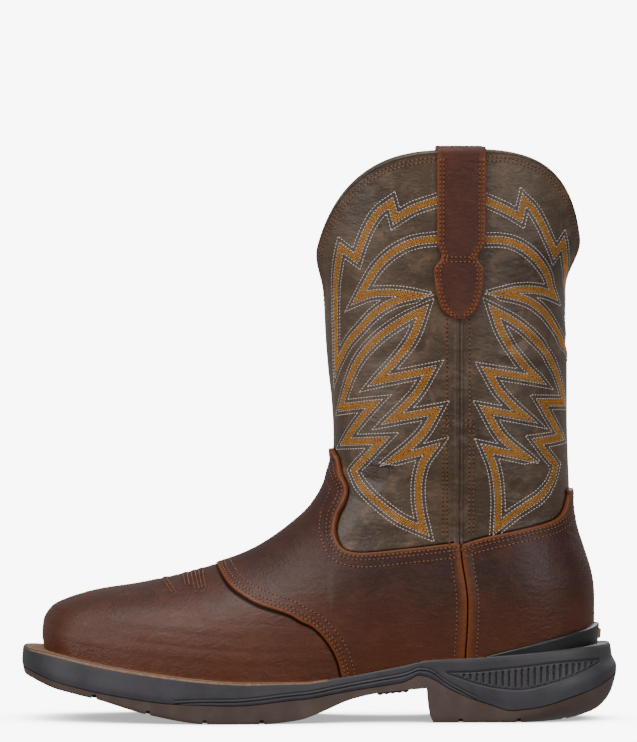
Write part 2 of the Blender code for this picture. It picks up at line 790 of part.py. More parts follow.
def make_strap(name, side, leather):
    """Pull strap: sewn down outside, turned over the collar and sewn down inside."""
    outside = CLEAR + 0.5 * STRAP_THICKNESS
    inside = -WALL - CLEAR - 0.5 * STRAP_THICKNESS
    axis = 0.5 * (outside + inside)
    radius = 0.5 * (outside - inside)
    across = np.linspace(-0.5, 0.5, 5)
    lift = np.array((0.0, 0.0, STRAP_REACH))
    rings = []
    for drop, turn, width, shift in strap_stations():
        x = HEEL_BACK - STRAP_PLACE + shift + across * width
        here, normal = frame_on_upper(x, 0.0 * x + strap_top() - STRAP_REACH - drop, side)
        up = np.array((0.0, 0.0, math.sin(turn)))
        centre = here + lift + normal * (axis + radius * math.cos(turn)) + radius * up
        face = 0.5 * STRAP_THICKNESS * (normal * math.cos(turn) + up)
        rings.append(np.concatenate((centre + face, (centre - face)[::-1])))
    return new_object(name, strip_mesh(name, rings), leather)


def strip_mesh(name, rings):
    """Solid strip through rings whose first half is one face and whose second half is the other."""
    bm = bmesh.new()
    loops = [[bm.verts.new(point) for point in ring] for ring in rings]
    count = len(loops[0])
    for lower, upper in zip(loops, loops[1:]):
        for i in range(count):
            j = (i + 1) % count
            bm.faces.new((lower[i], lower[j], upper[j], upper[i]))
    for loop in (loops[0], loops[-1]):
        for i in range(count // 2 - 1):
            bm.faces.new((loop[i], loop[i + 1], loop[count - i - 2], loop[count - i - 1]))
    bmesh.ops.recalc_face_normals(bm, faces=bm.faces)
    bmesh.ops.triangulate(bm, faces=bm.faces)
    mesh = bpy.data.meshes.new(name)
    bm.to_mesh(mesh)
    bm.free()
    return mesh


def plan_outline(margin, count=SOLE_POINTS):
    """Closed outline from above at a margin outside the last; margin is a function of the share along."""
    along = 0.5 + 0.5 * np.cos(np.linspace(0.0, math.pi, 4 * DENSE + 1))
    halves = []
    for side in (-1.0, 1.0):
        y = last_middle(along) + side * last_half_width(along)
        line = np.stack((place(along), y, 0.0 * y), axis=-1)
        tangent = np.gradient(line, axis=0)
        normal = np.stack((tangent[:, 1], -tangent[:, 0]), axis=-1) * -side
        normal[0] = (-1.0, 0.0)
        normal[-1] = (1.0, 0.0)
        normal /= np.linalg.norm(normal, axis=1)[:, None]
        line[:, :2] += normal * margin(along)[:, None]
        halves.append(spread(line, spread_shares(line, count // 2, 0.7)))
    return np.concatenate((halves[0], halves[1][-2:0:-1]))


def sole_margin(along):
    """Margin of the welt and of the midsole's top edge past the last."""
    return through(MARGINS, 1, along)


def heel_weight(along):
    """1 at the heel's back, fading to 0 along its sides."""
    p = np.clip(1.0 - along * LAST_LENGTH / HEEL_FADE, 0.0, 1.0)
    return p * p * (3.0 - 2.0 * p)


def midsole_bottom(x):
    """Height of the midsole's lower edge at an X."""
    at = sole_station(x)
    drop = through(MIDSOLE_DROP, 1, at) * MIDSOLE_THICKNESS + through(MIDSOLE_DROP, 2, at) * SWOOP_DEPTH
    return sole_top(x) - drop


def midsole_rings(outset, stretch):
    """Rings down the midsole's side; outset and stretch widen it for the forms that cut it."""
    rings = []
    for down, flare, lip in MIDSOLE_SIDE:
        def margin(along):
            back = SWOOP_FLARE * flare * heel_weight(along)
            return sole_margin(along) + back + MIDSOLE_LIP * lip + outset
        ring = plan_outline(margin)
        top = sole_top(ring[:, 0]) + stretch
        bottom = midsole_bottom(ring[:, 0]) - stretch
        ring[:, 2] = top + (bottom - top) * down
        rings.append(ring)
    return rings


def make_welt(leather):
    """Strip between upper and midsole round the forefoot."""
    obj = new_object("welt", welt_mesh("welt", 0.0, 0.0), leather)
    shape_by(obj, behind_welt("welt_end_cutter", 0.0), "DIFFERENCE")
    return obj


def welt_mesh(name, grow, reach):
    """Ring of the welt; its channel grows by a clearance and reaches past the midsole's side and top."""
    outer = plan_outline(lambda along: sole_margin(along) + 0.5 * MIDSOLE_LIP + reach)
    inner = plan_outline(lambda along: 0.0 * along - WELT_INSIDE - grow)
    rings = []
    for ring, height in ((outer, 1.0), (inner, 1.0), (inner, 0.0), (outer, 0.0), (outer, 1.0)):
        ring = ring.copy()
        top = sole_top(ring[:, 0]) + reach
        bottom = sole_top(ring[:, 0]) - WELT_THICKNESS - grow
        ring[:, 2] = bottom + (top - bottom) * height
        rings.append(ring)
    return loft(name, rings, closed=True)


def behind_welt(name, clearance):
    """Cutter for everything behind the welt's ends."""
    end = float(place(1.0)) + WELT_REACH + clearance
    back = HEEL_BACK + CUT_REACH
    outline = [(end, -CUT_BELOW), (back, -CUT_BELOW), (back, INSTEP_HEIGHT), (end, INSTEP_HEIGHT)]
    return side_prism(name, outline, -COLLAR_WIDTH, COLLAR_WIDTH)


def make_midsole(rubber):
    """Midsole with the welt's channel, the swept sides and their ribbed windows."""
    obj = new_object("midsole", loft("midsole", midsole_rings(0.0, 0.0), closed=False), rubber)
    channel = cutter("welt_channel_cutter", welt_mesh("welt_channel_cutter", CLEAR, WELT_THICKNESS))
    shape_by(channel, behind_welt("channel_end_cutter", CLEAR), "DIFFERENCE")
    shape_by(obj, channel, "DIFFERENCE")
    around = loft("window_cutter", midsole_rings(WINDOW_CUT, 0.5 * WINDOW_CUT), closed=False)
    window = cutter("window_cutter", around)
    core = cutter("window_core", loft("window_core", midsole_rings(-WINDOW_DEPTH, WINDOW_CUT), closed=False))
    shape_by(window, core, "DIFFERENCE")
    shape_by(window, side_prism("window_outline", window_line(), -COLLAR_WIDTH, COLLAR_WIDTH), "INTERSECT")
    shape_by(obj, window, "DIFFERENCE")
    shape_by(obj, rib_cutter(), "DIFFERENCE")
    return obj


def window_height(station, column):
    """Height of the window's lower or upper edge."""
    return sole_top(sole_place(station)) - through(WINDOW, column, station) * SWOOP_DEPTH


def window_line():
    """Outline of the ribbed window seen from the side."""
    stations = np.linspace(WINDOW[0][0], WINDOW[-1][0], 13)
    lower = [(float(sole_place(t)), float(window_height(t, 1))) for t in stations]
    upper = [(float(sole_place(t)), float(window_height(t, 2))) for t in stations]
    return lower + upper[::-1]


def rib_cutter():
    """Slots that leave the ribs in both windows."""
    bm = bmesh.new()
    outline = plan_outline(lambda along: sole_margin(along) + SWOOP_FLARE * 0.5 * heel_weight(along)
                           + MIDSOLE_LIP - WINDOW_DEPTH, 8 * SOLE_POINTS)
    half = len(outline) // 2
    for line in (outline[:half + 1], outline[half:]):
        steps = np.linalg.norm(np.diff(line, axis=0), axis=1)
        distance = np.concatenate(((0.0,), np.cumsum(steps)))
        if line[0, 0] > line[-1, 0]:
            line = line[::-1]
            distance = distance[-1] - distance[::-1]
        start = np.interp(sole_place(WINDOW[0][0] - 0.040), line[:, 0], distance)
        end = np.interp(sole_place(WINDOW[-1][0] + 0.027), line[:, 0], distance)
        for wanted in np.linspace(start, end, RIB_COUNT):
            point = Vector([np.interp(wanted, distance, line[:, k]) for k in range(3)])
            ahead = Vector([np.interp(wanted + 0.001, distance, line[:, k]) for k in range(3)])
            turn = math.atan2(ahead.y - point.y, ahead.x - point.x)
            low = float(window_height(sole_station(point.x), 1)) + RIB_MARGIN
            high = float(window_height(sole_station(point.x), 2)) - RIB_MARGIN
            size = Matrix.Diagonal((RIB_SLOT, 2.0 * RIB_DEPTH, high - low, 1.0))
            move = Matrix.Translation((point.x, point.y, 0.5 * (low + high)))
            bmesh.ops.create_cube(bm, size=1.0, matrix=move @ Matrix.Rotation(turn, 4, "Z") @ size)
    mesh = bpy.data.meshes.new("rib_cutter")
    bm.to_mesh(mesh)
    bm.free()
    return cutter("rib_cutter", mesh)


def arch_height(station):
    """Height of the outsole's underside in the arch."""
    return float(through(ARCH_LINE, 1, station)) * ARCH_HEIGHT


def make_outsole(rubber):
    """Outsole with toe spring, arch, heel block and cross grooves."""
    rings = []
    for height, heel, bevel in OUTSOLE_SIDE:
        def margin(along):
            back = heel_weight(along) * (SWOOP_FLARE - heel * HEEL_CURVE)
            return sole_margin(along) + MIDSOLE_LIP * 0.8 + back - OUTSOLE_BEVEL * bevel
        ring = plan_outline(margin)
        along = share(ring[:, 0])
        top = midsole_bottom(ring[:, 0]) - CLEAR
        bottom = np.minimum(through(TOE_UNDERSIDE, 1, along) * TOE_LIFT, top - OUTSOLE_THINNEST)
        ring[:, 2] = bottom + (top - bottom) * height
        rings.append(ring)
    obj = new_object("outsole", loft("outsole", rings, closed=False), rubber)
    breast = HEEL_BACK - HEEL_LENGTH
    foot = breast + BREAST_SLOPE
    stations = np.linspace(ARCH_LINE[0][0], ARCH_LINE[-1][0], 13)
    arch = [(float(sole_place(t)), arch_height(t)) for t in stations]
    outline = [(arch[0][0], -CUT_BELOW)] + arch
    outline += [(breast + 0.4 * BREAST_SLOPE, BREAST_BEND), (foot, 0.0), (foot, -CUT_BELOW)]
    shape_by(obj, side_prism("arch_cutter", outline, -COLLAR_WIDTH, COLLAR_WIDTH), "DIFFERENCE")
    shape_by(obj, groove_cutter(), "DIFFERENCE")
    return obj


def groove_cutter():
    """Cross grooves between the main lugs."""
    bm = bmesh.new()
    for station in GROOVES:
        x = float(sole_place(station))
        ground = float(through(TOE_UNDERSIDE, 1, share(x))) * TOE_LIFT
        size = Matrix.Diagonal((GROOVE_WIDTH, 2.0 * COLLAR_WIDTH, 2.0 * GROOVE_DEPTH, 1.0))
        bmesh.ops.create_cube(bm, size=1.0, matrix=Matrix.Translation((x, 0.0, ground)) @ size)
    mesh = bpy.data.meshes.new("groove_cutter")
    bm.to_mesh(mesh)
    bm.free()
    return cutter("groove_cutter", mesh)


def make_shank_pad(rubber):
    """Ribbed pad under the arch, just ahead of the heel breast."""
    back = HEEL_BACK - HEEL_LENGTH - PAD_GAP
    places = np.linspace(back - PAD_LENGTH, back, PAD_STEPS)
    heights = [arch_height(sole_station(x)) for x in places]
    profile = [(float(x), z - CLEAR) for x, z in zip(places, heights)]
    for i in reversed(range(PAD_STEPS)):
        depth = PAD_THICKNESS if i % 2 else 0.75 * PAD_THICKNESS
        profile.append((float(places[i]), heights[i] - depth))
    half = 0.5 * PAD_WIDTH
    middle = float(last_middle(share(back - 0.5 * PAD_LENGTH)))
    pad = side_prism("shank_pad", profile, middle - half, middle + half)
    pad.hide_render = False
    pad.display_type = "TEXTURED"
    pad.data.materials.append(rubber)
    return pad


def make_insole(foam):
    """Footbed inside the upper, on the sole."""
    rings = []
    inset = WALL + 2.0 * CLEAR
    for lift in (SEAT_CLEAR, SEAT_CLEAR + INSOLE_THICKNESS):
        ring = plan_outline(lambda along: 0.0 * along - inset)
        ring[:, 2] = sole_top(ring[:, 0]) + lift
        rings.append(ring)
    return new_object("insole", loft("insole", rings, closed=False), foam)


def main():
    for obj in list(bpy.data.objects):
        bpy.data.objects.remove(obj, do_unlink=True)
    shaft_leather = new_material("shaft_leather", (0.36, 0.29, 0.23), 0.5)
    foot_leather = new_material("foot_leather", (0.42, 0.22, 0.14), 0.45)
    heel_leather = new_material("heel_leather", (0.38, 0.22, 0.16), 0.45)
    strap_leather = new_material("strap_leather", (0.40, 0.20, 0.13), 0.5)
    welt_leather = new_material("welt_leather", (0.55, 0.40, 0.28), 0.6)
    midsole_rubber = new_material("midsole_rubber", (0.22, 0.21, 0.23), 0.6)
    outsole_rubber = new_material("outsole_rubber", (0.36, 0.28, 0.25), 0.6)
    stabiliser_rubber = new_material("stabiliser_rubber", (0.16, 0.14, 0.13), 0.4)
    tab_rubber = new_material("tab_rubber", (0.66, 0.42, 0.26), 0.5)
    foam = new_material("footbed_foam", (0.20, 0.19, 0.18), 0.8)
    make_upper(shaft_leather)
    make_overlays(foot_leather, foot_leather, heel_leather)
    make_stabiliser(stabiliser_rubber, tab_rubber)
    make_side_seams(strap_leather)
    make_strap("pull_strap_lateral", -1.0, strap_leather)
    make_strap("pull_strap_medial", 1.0, strap_leather)
    make_welt(welt_leather)
    make_midsole(midsole_rubber)
    make_outsole(outsole_rubber)
    make_shank_pad(midsole_rubber)
    make_insole(foam)


main()
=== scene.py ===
"""Looks of a pull-on western work boot: leathers, threads, creases and moulded rubber
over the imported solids. Metres, toe to -X, lateral side to -Y, +Z up."""

import math

import bmesh
import bpy
import numpy as np
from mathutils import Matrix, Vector
from mathutils.kdtree import KDTree


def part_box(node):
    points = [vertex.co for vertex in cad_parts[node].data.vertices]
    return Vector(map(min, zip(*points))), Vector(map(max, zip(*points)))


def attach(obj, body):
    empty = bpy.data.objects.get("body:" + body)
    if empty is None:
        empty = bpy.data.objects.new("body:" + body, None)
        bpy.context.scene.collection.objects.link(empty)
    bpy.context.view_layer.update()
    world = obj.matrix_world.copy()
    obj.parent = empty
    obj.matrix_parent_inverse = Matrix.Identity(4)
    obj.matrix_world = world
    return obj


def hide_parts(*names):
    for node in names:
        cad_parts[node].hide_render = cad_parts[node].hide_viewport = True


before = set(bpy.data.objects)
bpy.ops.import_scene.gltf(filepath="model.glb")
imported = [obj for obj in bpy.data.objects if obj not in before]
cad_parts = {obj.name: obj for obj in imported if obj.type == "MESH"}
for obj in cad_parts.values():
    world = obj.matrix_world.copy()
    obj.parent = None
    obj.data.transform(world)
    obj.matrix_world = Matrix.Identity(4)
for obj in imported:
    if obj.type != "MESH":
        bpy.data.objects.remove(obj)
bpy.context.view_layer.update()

bl_info = {
    "name": "Western work boot",
    "version": (1, 0, 0),
    "blender": (4, 5, 0),
    "location": "3D View > Sidebar > Boot",
    "description": "Pull-on western work boot with a stitched shaft and a swept rubber sole",
    "category": "Object",
}

# Last and shaft, as in the solids
LAST_LENGTH = 0.2867
HEEL_BACK = 0.0464
BALL_WIDTH = 0.098
WAIST_WIDTH = 0.067
HEEL_WIDTH = 0.067
TOE_WIDTH = 0.070
TOE_ROUNDING = 0.024
HEEL_ROUNDING = 0.046
INSTEP_HEIGHT = 0.114
BULGE_HEIGHT = 0.0707
CREST_LEAN = 0.0049
SHAFT_HEIGHT = 0.1643
ANKLE_WIDTH = 0.084
COLLAR_WIDTH = 0.100
SCALLOP_DEPTH = 0.0735
FRONT_FLARE = 0.0069
BACK_FLARE = 0.0086
DIP_ROUNDING = 0.0174
FRONT_POWER = 2.56
BACK_POWER = 3.49
FLARE_START = 0.35
OVAL_POWER = 2.15
WIDENING_POWER = 1.3

# Leather
VAMP_FACE = 0.0015
SADDLE_FACE = 0.0024
COUNTER_FACE = 0.0023
STRAP_WIDTH = 0.0255
STRAP_THICKNESS = 0.0020
STRAP_OUTSIDE = 0.0875
STRAP_INSIDE = 0.045
STRAP_REACH = 0.004
STRAP_PLACE = 0.0678
WALL = 0.0020
CLEAR = 0.0003

# Sole
FOREFOOT_THICKNESS = 0.0217
SEAT_RISE = 0.0138
TOE_SPRING = 0.0154
WELT_THICKNESS = 0.0026
WELT_REACH = 0.1571
MIDSOLE_THICKNESS = 0.0148
SWOOP_DEPTH = 0.0295
ARCH_HEIGHT = 0.0183
TOE_LIFT = 0.0265
TOE_MARGIN = 0.0125
BALL_MARGIN = 0.0070
WAIST_MARGIN = 0.0036
HEEL_SIDE_MARGIN = 0.0055
HEEL_BACK_MARGIN = 0.0112
SWOOP_FLARE = 0.0032
MIDSOLE_LIP = 0.0008
HEEL_CURVE = 0.0247
HEEL_FADE = 0.0459
HEEL_LENGTH = 0.0856
BREAST_SLOPE = 0.0032
BREAST_BEND = 0.0042
OUTSOLE_BEVEL = 0.0016
OUTSOLE_THINNEST = 0.0035
GROOVE_WIDTH = 0.0026
GROOVE_DEPTH = 0.0022

# Top line of the sole: along the last from heel to toe, share of SEAT_RISE, share of TOE_SPRING
FEATHER_LINE = (
    (-0.050, 1.400, 0.000), (0.067, 1.152, 0.000), (0.151, 1.000, 0.000), (0.221, 0.884, 0.000),
    (0.291, 0.826, 0.000), (0.347, 0.594, 0.000), (0.457, 0.174, 0.000), (0.531, 0.000, 0.000),
    (0.624, 0.000, 0.000), (0.716, 0.000, 0.104), (0.809, 0.000, 0.312), (0.901, 0.000, 0.584),
    (1.005, 0.000, 1.000), (1.060, 0.000, 1.140),
)

# Outline of the last from below: along, width, middle as share of BALL_WIDTH towards the medial side
OUTLINE = (
    (0.00, 0.96 * HEEL_WIDTH, 0.000),
    (0.15, 1.00 * HEEL_WIDTH, 0.000),
    (0.40, 1.00 * WAIST_WIDTH, -0.043),
    (0.55, 0.86 * BALL_WIDTH, -0.030),
    (0.69, 1.00 * BALL_WIDTH, 0.000),
    (0.82, 0.93 * BALL_WIDTH, 0.028),
    (0.92, 1.08 * TOE_WIDTH, 0.044),
    (1.00, 0.94 * TOE_WIDTH, 0.055),
)

# Section of the foot: along, bulge over the feather line, power across the top, power of its closing
SECTIONS = (
    (0.00, 0.10, 2.4, 2.0), (0.20, 0.10, 2.4, 2.0), (0.42, 0.13, 2.2, 1.7), (0.58, 0.06, 2.2, 1.6),
    (0.72, 0.03, 2.6, 1.8), (0.88, 0.03, 3.2, 2.1), (1.00, 0.03, 3.6, 2.3),
)

# Lean of the crest towards the medial side: along, share of CREST_LEAN
CREST = (
    (0.00, 0.0), (0.35, 0.2), (0.70, 1.0), (1.00, 0.6),
)

# Rings of the upper, from the feather line to the collar, front point then back point:
# along, share of INSTEP_HEIGHT, share of SHAFT_HEIGHT, twice, then how far the ring follows
# the feather line, the shaft's oval and the scallop
UPPER_RINGS = (
    (1.000, 0.000, 0.000, 0.000, 0.000, 0.000, 1.00, 0.00, 0.00),
    (1.005, 0.070, 0.000, -0.003, 0.059, 0.000, 0.92, 0.00, 0.00),
    (1.003, 0.127, 0.000, -0.004, 0.115, 0.000, 0.84, 0.00, 0.00),
    (0.990, 0.189, 0.000, -0.004, 0.166, 0.000, 0.76, 0.00, 0.00),
    (0.960, 0.245, 0.000, -0.004, 0.217, 0.000, 0.67, 0.00, 0.00),
    (0.905, 0.314, 0.000, -0.003, 0.269, 0.000, 0.57, 0.00, 0.00),
    (0.827, 0.378, 0.000, 0.000, 0.320, 0.000, 0.46, 0.02, 0.00),
    (0.753, 0.444, 0.000, 0.005, 0.371, 0.000, 0.35, 0.06, 0.00),
    (0.676, 0.518, 0.000, 0.012, 0.427, 0.000, 0.24, 0.12, 0.00),
    (0.609, 0.593, 0.000, 0.019, 0.482, 0.000, 0.14, 0.22, 0.00),
    (0.546, 0.702, 0.000, 0.026, 0.538, 0.000, 0.06, 0.36, 0.00),
    (0.504, 0.801, 0.000, 0.031, 0.599, 0.000, 0.02, 0.54, 0.00),
    (0.479, 0.906, 0.000, 0.034, 0.664, 0.000, 0.00, 0.74, 0.00),
    (0.471, 1.000, 0.000, 0.035, 0.752, 0.000, 0.00, 0.90, 0.00),
    (0.471, 1.000, 0.077, 0.037, 0.868, 0.000, 0.00, 1.00, 0.10),
    (0.474, 1.000, 0.184, 0.039, 1.000, 0.038, 0.00, 1.00, 0.30),
    (0.481, 1.000, 0.297, 0.039, 1.000, 0.183, 0.00, 1.00, 0.55),
    (0.486, 1.000, 0.410, 0.043, 1.000, 0.312, 0.00, 1.00, 0.80),
    (0.489, 1.000, 0.532, 0.042, 1.000, 0.468, 0.00, 1.00, 1.00),
)

# Side view lines: along, share of the ankle's height
SADDLE_FRONT = (
    (0.700, 0.640), (0.6885, 0.602), (0.672, 0.542), (0.656, 0.504), (0.630, 0.469), (0.602, 0.442),
    (0.554, 0.412), (0.531, 0.386), (0.507, 0.362), (0.484, 0.312), (0.467, 0.250), (0.458, 0.180),
    (0.450, 0.060),
)
SADDLE_TOP = (
    (0.500, 1.090), (0.476, 1.054), (0.463, 1.015), (0.4547, 0.950), (0.4442, 0.892),
    (0.4504, 0.831), (0.4612, 0.785), (0.4655, 0.733), (0.4594, 0.685), (0.4464, 0.658),
    (0.4131, 0.650), (0.3401, 0.666), (0.2856, 0.679), (0.238, 0.692),
)
COUNTER_TOP = (
    (0.237, 0.683), (0.193, 0.710), (0.140, 0.733), (0.0785, 0.763), (0.0575, 0.785),
    (0.0468, 0.817), (0.0405, 0.862), (0.0342, 0.890), (-0.040, 0.930),
)
LOWER_SEAM = (
    (0.2390, 0.700), (0.2350, 0.613), (0.2282, 0.527), (0.2250, 0.456), (0.2262, 0.351),
    (0.2292, 0.254), (0.2300, 0.060),
)
STABILISER_TOP = (
    (0.2068, 0.252), (0.1377, 0.288), (0.0675, 0.328), (0.0120, 0.358), (-0.0140, 0.381),
    (-0.0600, 0.392),
)

# Width of the sole past the last: along, margin
MARGINS = (
    (0.00, HEEL_BACK_MARGIN),
    (0.05, 0.55 * HEEL_BACK_MARGIN + 0.45 * HEEL_SIDE_MARGIN),
    (0.14, HEEL_SIDE_MARGIN),
    (0.42, WAIST_MARGIN),
    (0.68, BALL_MARGIN),
    (0.88, 0.80 * BALL_MARGIN + 0.20 * TOE_MARGIN),
    (0.97, 0.25 * BALL_MARGIN + 0.75 * TOE_MARGIN),
    (1.00, TOE_MARGIN),
)

# Stations of the sole run from 0 at the heel's back over 1 at the heel breast to 2 at the toe.
# Lower edge of the midsole under the feather line: station, share of MIDSOLE_THICKNESS,
# share of SWOOP_DEPTH
MIDSOLE_DROP = (
    (-0.174, 0.000, 0.560), (-0.054, 0.000, 0.740), (0.134, 0.000, 0.878), (0.318, 0.000, 0.983),
    (0.469, 0.000, 1.000), (0.633, 0.000, 0.834), (0.791, 0.000, 0.640), (0.918, 0.000, 0.430),
    (1.005, 0.300, 0.128), (1.028, 0.470, 0.000), (1.069, 0.590, 0.000), (1.200, 0.540, 0.000),
    (1.331, 0.610, 0.000), (1.464, 0.790, 0.000), (1.595, 0.890, 0.000), (1.728, 1.000, 0.000),
    (1.859, 1.000, 0.000), (1.964, 0.990, 0.000), (2.064, 0.700, 0.000),
)

# Side of the midsole: share of its height down from the top, flare at the heel's back, lip
MIDSOLE_SIDE = (
    (0.00, 0.00, 0.00), (0.10, 0.08, 0.70), (0.38, 0.22, 1.00), (0.74, 0.88, 1.30),
    (1.00, 1.00, 0.80),
)

# Side of the outsole: share of its height, shares of HEEL_CURVE and of OUTSOLE_BEVEL
OUTSOLE_SIDE = (
    (0.000, 1.00, 1.0), (0.120, 0.76, 0.6), (0.310, 0.39, 0.4), (0.650, 0.10, 0.2),
    (1.000, 0.00, 0.0),
)

# Underside of the forefoot: along, share of TOE_LIFT
TOE_UNDERSIDE = (
    (0.700, 0.00), (0.716, 0.01), (0.809, 0.18), (0.901, 0.46), (0.975, 0.69), (1.003, 0.78),
    (1.045, 0.92),
)

# Underside of the arch, from the ball to the heel breast: station, share of ARCH_HEIGHT
ARCH_LINE = (
    (1.416, 0.00), (1.373, 0.05), (1.331, 0.12), (1.279, 0.32), (1.200, 0.68), (1.122, 0.87),
    (1.000, 1.00),
)

# Cross grooves of the outsole, as stations of the sole
GROOVES = (1.872, 1.731, 1.582, 1.433, 0.794, 0.436, 0.151)

# Ribbed window in the midsole's side: station, then lower and upper edge as shares of SWOOP_DEPTH
WINDOW = (
    (0.878, 0.250, 0.235), (0.804, 0.330, 0.240), (0.693, 0.455, 0.243), (0.553, 0.575, 0.238),
    (0.412, 0.630, 0.230), (0.228, 0.560, 0.215), (0.040, 0.420, 0.235), (-0.067, 0.300, 0.250),
)

# Pull strap: share of its length outside from the top down, share of STRAP_WIDTH, shift as share
STRAP_SHAPE = (
    (0.000, 1.000, 0.000), (0.540, 0.990, -0.010), (0.625, 0.740, -0.045), (0.702, 1.020, -0.060),
    (0.790, 0.980, -0.055), (0.930, 0.740, -0.050), (0.975, 0.460, -0.045), (1.000, 0.160, -0.040),
)

# Flame lines of the shaft's front and back panels: millimetres from FLAME_MIDDLE and over the floor
FLAME_MIDDLE = -0.0224
FLAMES = {
    "front_arches": (
        (-10.5, 275.6), (-13.1, 274.7), (-23.3, 271.3), (-29.0, 268.2), (-33.7, 265.2), (-36.1, 273.7),
        (-42.5, 268.9), (-47.4, 261.6), (-51.3, 252.8), (-54.1, 244.3), (-62.1, 250.2), (-64.0, 240.3),
        (-64.9, 229.0), (-65.0, 216.2), (-64.8, 203.4), (-64.6, 186.1), (-62.1, 192.7), (-58.1, 200.3),
        (-52.1, 207.4), (-45.3, 214.8), (-37.9, 220.2), (-30.4, 223.3), (-23.3, 225.0), (-30.4, 226.1),
        (-38.2, 226.5), (-46.4, 225.8), (-53.1, 223.3), (-49.1, 230.7), (-44.6, 238.2), (-38.5, 245.0),
        (-31.1, 250.2), (-22.6, 253.5), (-11.9, 254.8), (-9.0, 254.9),
    ),
    "front_leaf": (
        (-19.5, 216.9), (-26.8, 213.6), (-33.9, 209.4), (-41.0, 204.1), (-47.4, 198.0), (-53.1, 190.6),
        (-56.9, 182.8), (-59.8, 174.3), (-62.3, 165.3), (-45.0, 167.9), (-60.2, 147.3), (-40.8, 148.6),
        (-48.1, 140.5), (-55.8, 132.4), (-52.1, 125.3), (-45.6, 118.2), (-38.2, 112.0), (-29.7, 106.3),
        (-18.6, 101.5), (-20.5, 109.7), (-21.6, 118.2), (-21.4, 128.1), (-19.0, 137.4), (-14.3, 144.5),
        (-33.9, 139.2), (-25.1, 146.6), (-18.0, 154.4), (-12.4, 164.5), (-35.4, 160.1), (-27.6, 167.9),
        (-21.2, 175.7), (-15.5, 185.8), (-43.2, 180.0), (-33.9, 190.6), (-26.1, 200.6), (-22.3, 208.4),
        (-19.5, 216.9),
    ),
    "back_arches": (
        (12.0, 275.6), (14.3, 274.7), (22.1, 271.3), (27.8, 268.3), (31.7, 265.9), (33.9, 275.1),
        (38.8, 270.1), (43.4, 262.3), (47.0, 254.5), (50.3, 246.7), (54.9, 252.8), (55.9, 244.6),
        (56.2, 234.6), (56.4, 224.7), (56.8, 214.8), (57.1, 194.9), (54.4, 200.6), (50.5, 207.7),
        (44.9, 215.5), (37.8, 221.4), (29.9, 224.4), (22.1, 226.1), (28.5, 227.5), (35.6, 228.1),
        (43.4, 227.2), (50.1, 224.7), (46.7, 234.6), (42.0, 242.4), (36.3, 248.1), (29.2, 252.4),
        (21.4, 254.2), (11.5, 254.2), (9.0, 254.2),
    ),
    "back_leaf": (
        (18.3, 216.9), (25.7, 213.1), (32.8, 208.4), (39.6, 202.3), (45.3, 195.6), (49.5, 187.8),
        (52.9, 179.3), (55.5, 167.9), (43.4, 168.6), (48.4, 159.4), (53.8, 149.7), (41.3, 148.0),
        (46.3, 140.9), (51.2, 135.0), (48.1, 125.6), (42.7, 118.9), (36.3, 114.7), (28.5, 109.7),
        (20.0, 102.9), (20.3, 109.7), (20.4, 116.8), (19.7, 126.7), (17.7, 136.0), (14.3, 144.5),
        (34.9, 139.8), (26.4, 146.6), (20.0, 153.7), (14.0, 164.8), (34.9, 160.8), (28.5, 166.5),
        (20.7, 175.0), (15.0, 185.2), (41.3, 180.7), (32.1, 190.6), (25.7, 199.8), (21.4, 207.7),
        (18.3, 216.9),
    ),
}

# Creases and folds: millimetres of X and Z along each, its depth (minus is a raised fold) and half width
CREASES = (
    (((-58.0, 206.0), (-50.0, 214.0), (-40.0, 217.0)), 0.5, 3.0),
    (((-52.0, 236.0), (-46.0, 230.0), (-36.0, 231.0)), 0.4, 2.5),
    (((-64.0, 190.0), (-54.0, 196.0), (-44.0, 196.0)), 0.5, 3.2),
    (((4.0, 198.0), (12.0, 201.0), (22.0, 197.0), (34.0, 199.0)), 0.7, 2.6),
    (((2.0, 189.0), (12.0, 186.0), (24.0, 189.0)), 0.6, 2.4),
    (((6.0, 231.0), (16.0, 227.0), (26.0, 229.0)), 0.5, 2.6),
    (((-48.0, 172.0), (-40.0, 176.0), (-30.0, 174.0)), 0.5, 2.6),
    (((-84.0, 122.0), (-74.0, 115.0), (-60.0, 112.0)), 0.9, 3.4),
    (((-86.0, 136.0), (-78.0, 128.0), (-68.0, 127.0)), 0.7, 3.0),
    (((0.0, 124.0), (12.0, 120.0), (26.0, 124.0)), 0.5, 3.0),
    (((-20.0, 152.0), (-10.0, 149.0), (2.0, 151.0)), 0.4, 2.4),
)
TOE_FOLDS = (
    (((-167.5, 77.5), (-165.4, 70.5)), -0.55, 0.75),
    (((-163.5, 79.5), (-160.3, 68.6)), -0.55, 0.75),
    (((-159.0, 79.5), (-156.6, 68.9)), -0.55, 0.75),
    (((-178.8, 74.0), (-172.3, 66.8)), -0.55, 0.75),
)

# Bulge beside a crease: its height and its distance, as shares of the crease's depth and half width
CREASE_BULGE = 0.35
CREASE_BULGE_AT = 1.9

# Folded strips beside the lower side seam: middle, half width, the width over which they fade, rise,
# and the share at which the distance to the seam counts, so that it looks rubbed further than an edge
SEAM_X = -0.019
SEAM_FOLD = 0.0046
SEAM_SOFT = 0.0016
SEAM_RISE = 0.0005
SEAM_WEAR = 0.5

# Rings by their number. Over TOE_ROW the foot's plan keeps the toe's full reach, over SHAFT_ROW the
# shaft widens, and ANKLE_ROW ends the instep's ridge
RING_TABLE = tuple((i,) + row for i, row in enumerate(UPPER_RINGS))
TOE_ROW = 2.0
TOE_REACH = 1.003
SHAFT_ROW = 12.0
ANKLE_ROW = 13
LAST_ROW = len(UPPER_RINGS) - 1

# Instep ridge from the ankle to the toe: along, share of INSTEP_HEIGHT, and how fast it climbs behind
RIDGE = tuple((row[0], row[1]) for row in UPPER_RINGS[1:ANKLE_ROW + 1][::-1])
RIDGE_BEHIND = 9.0

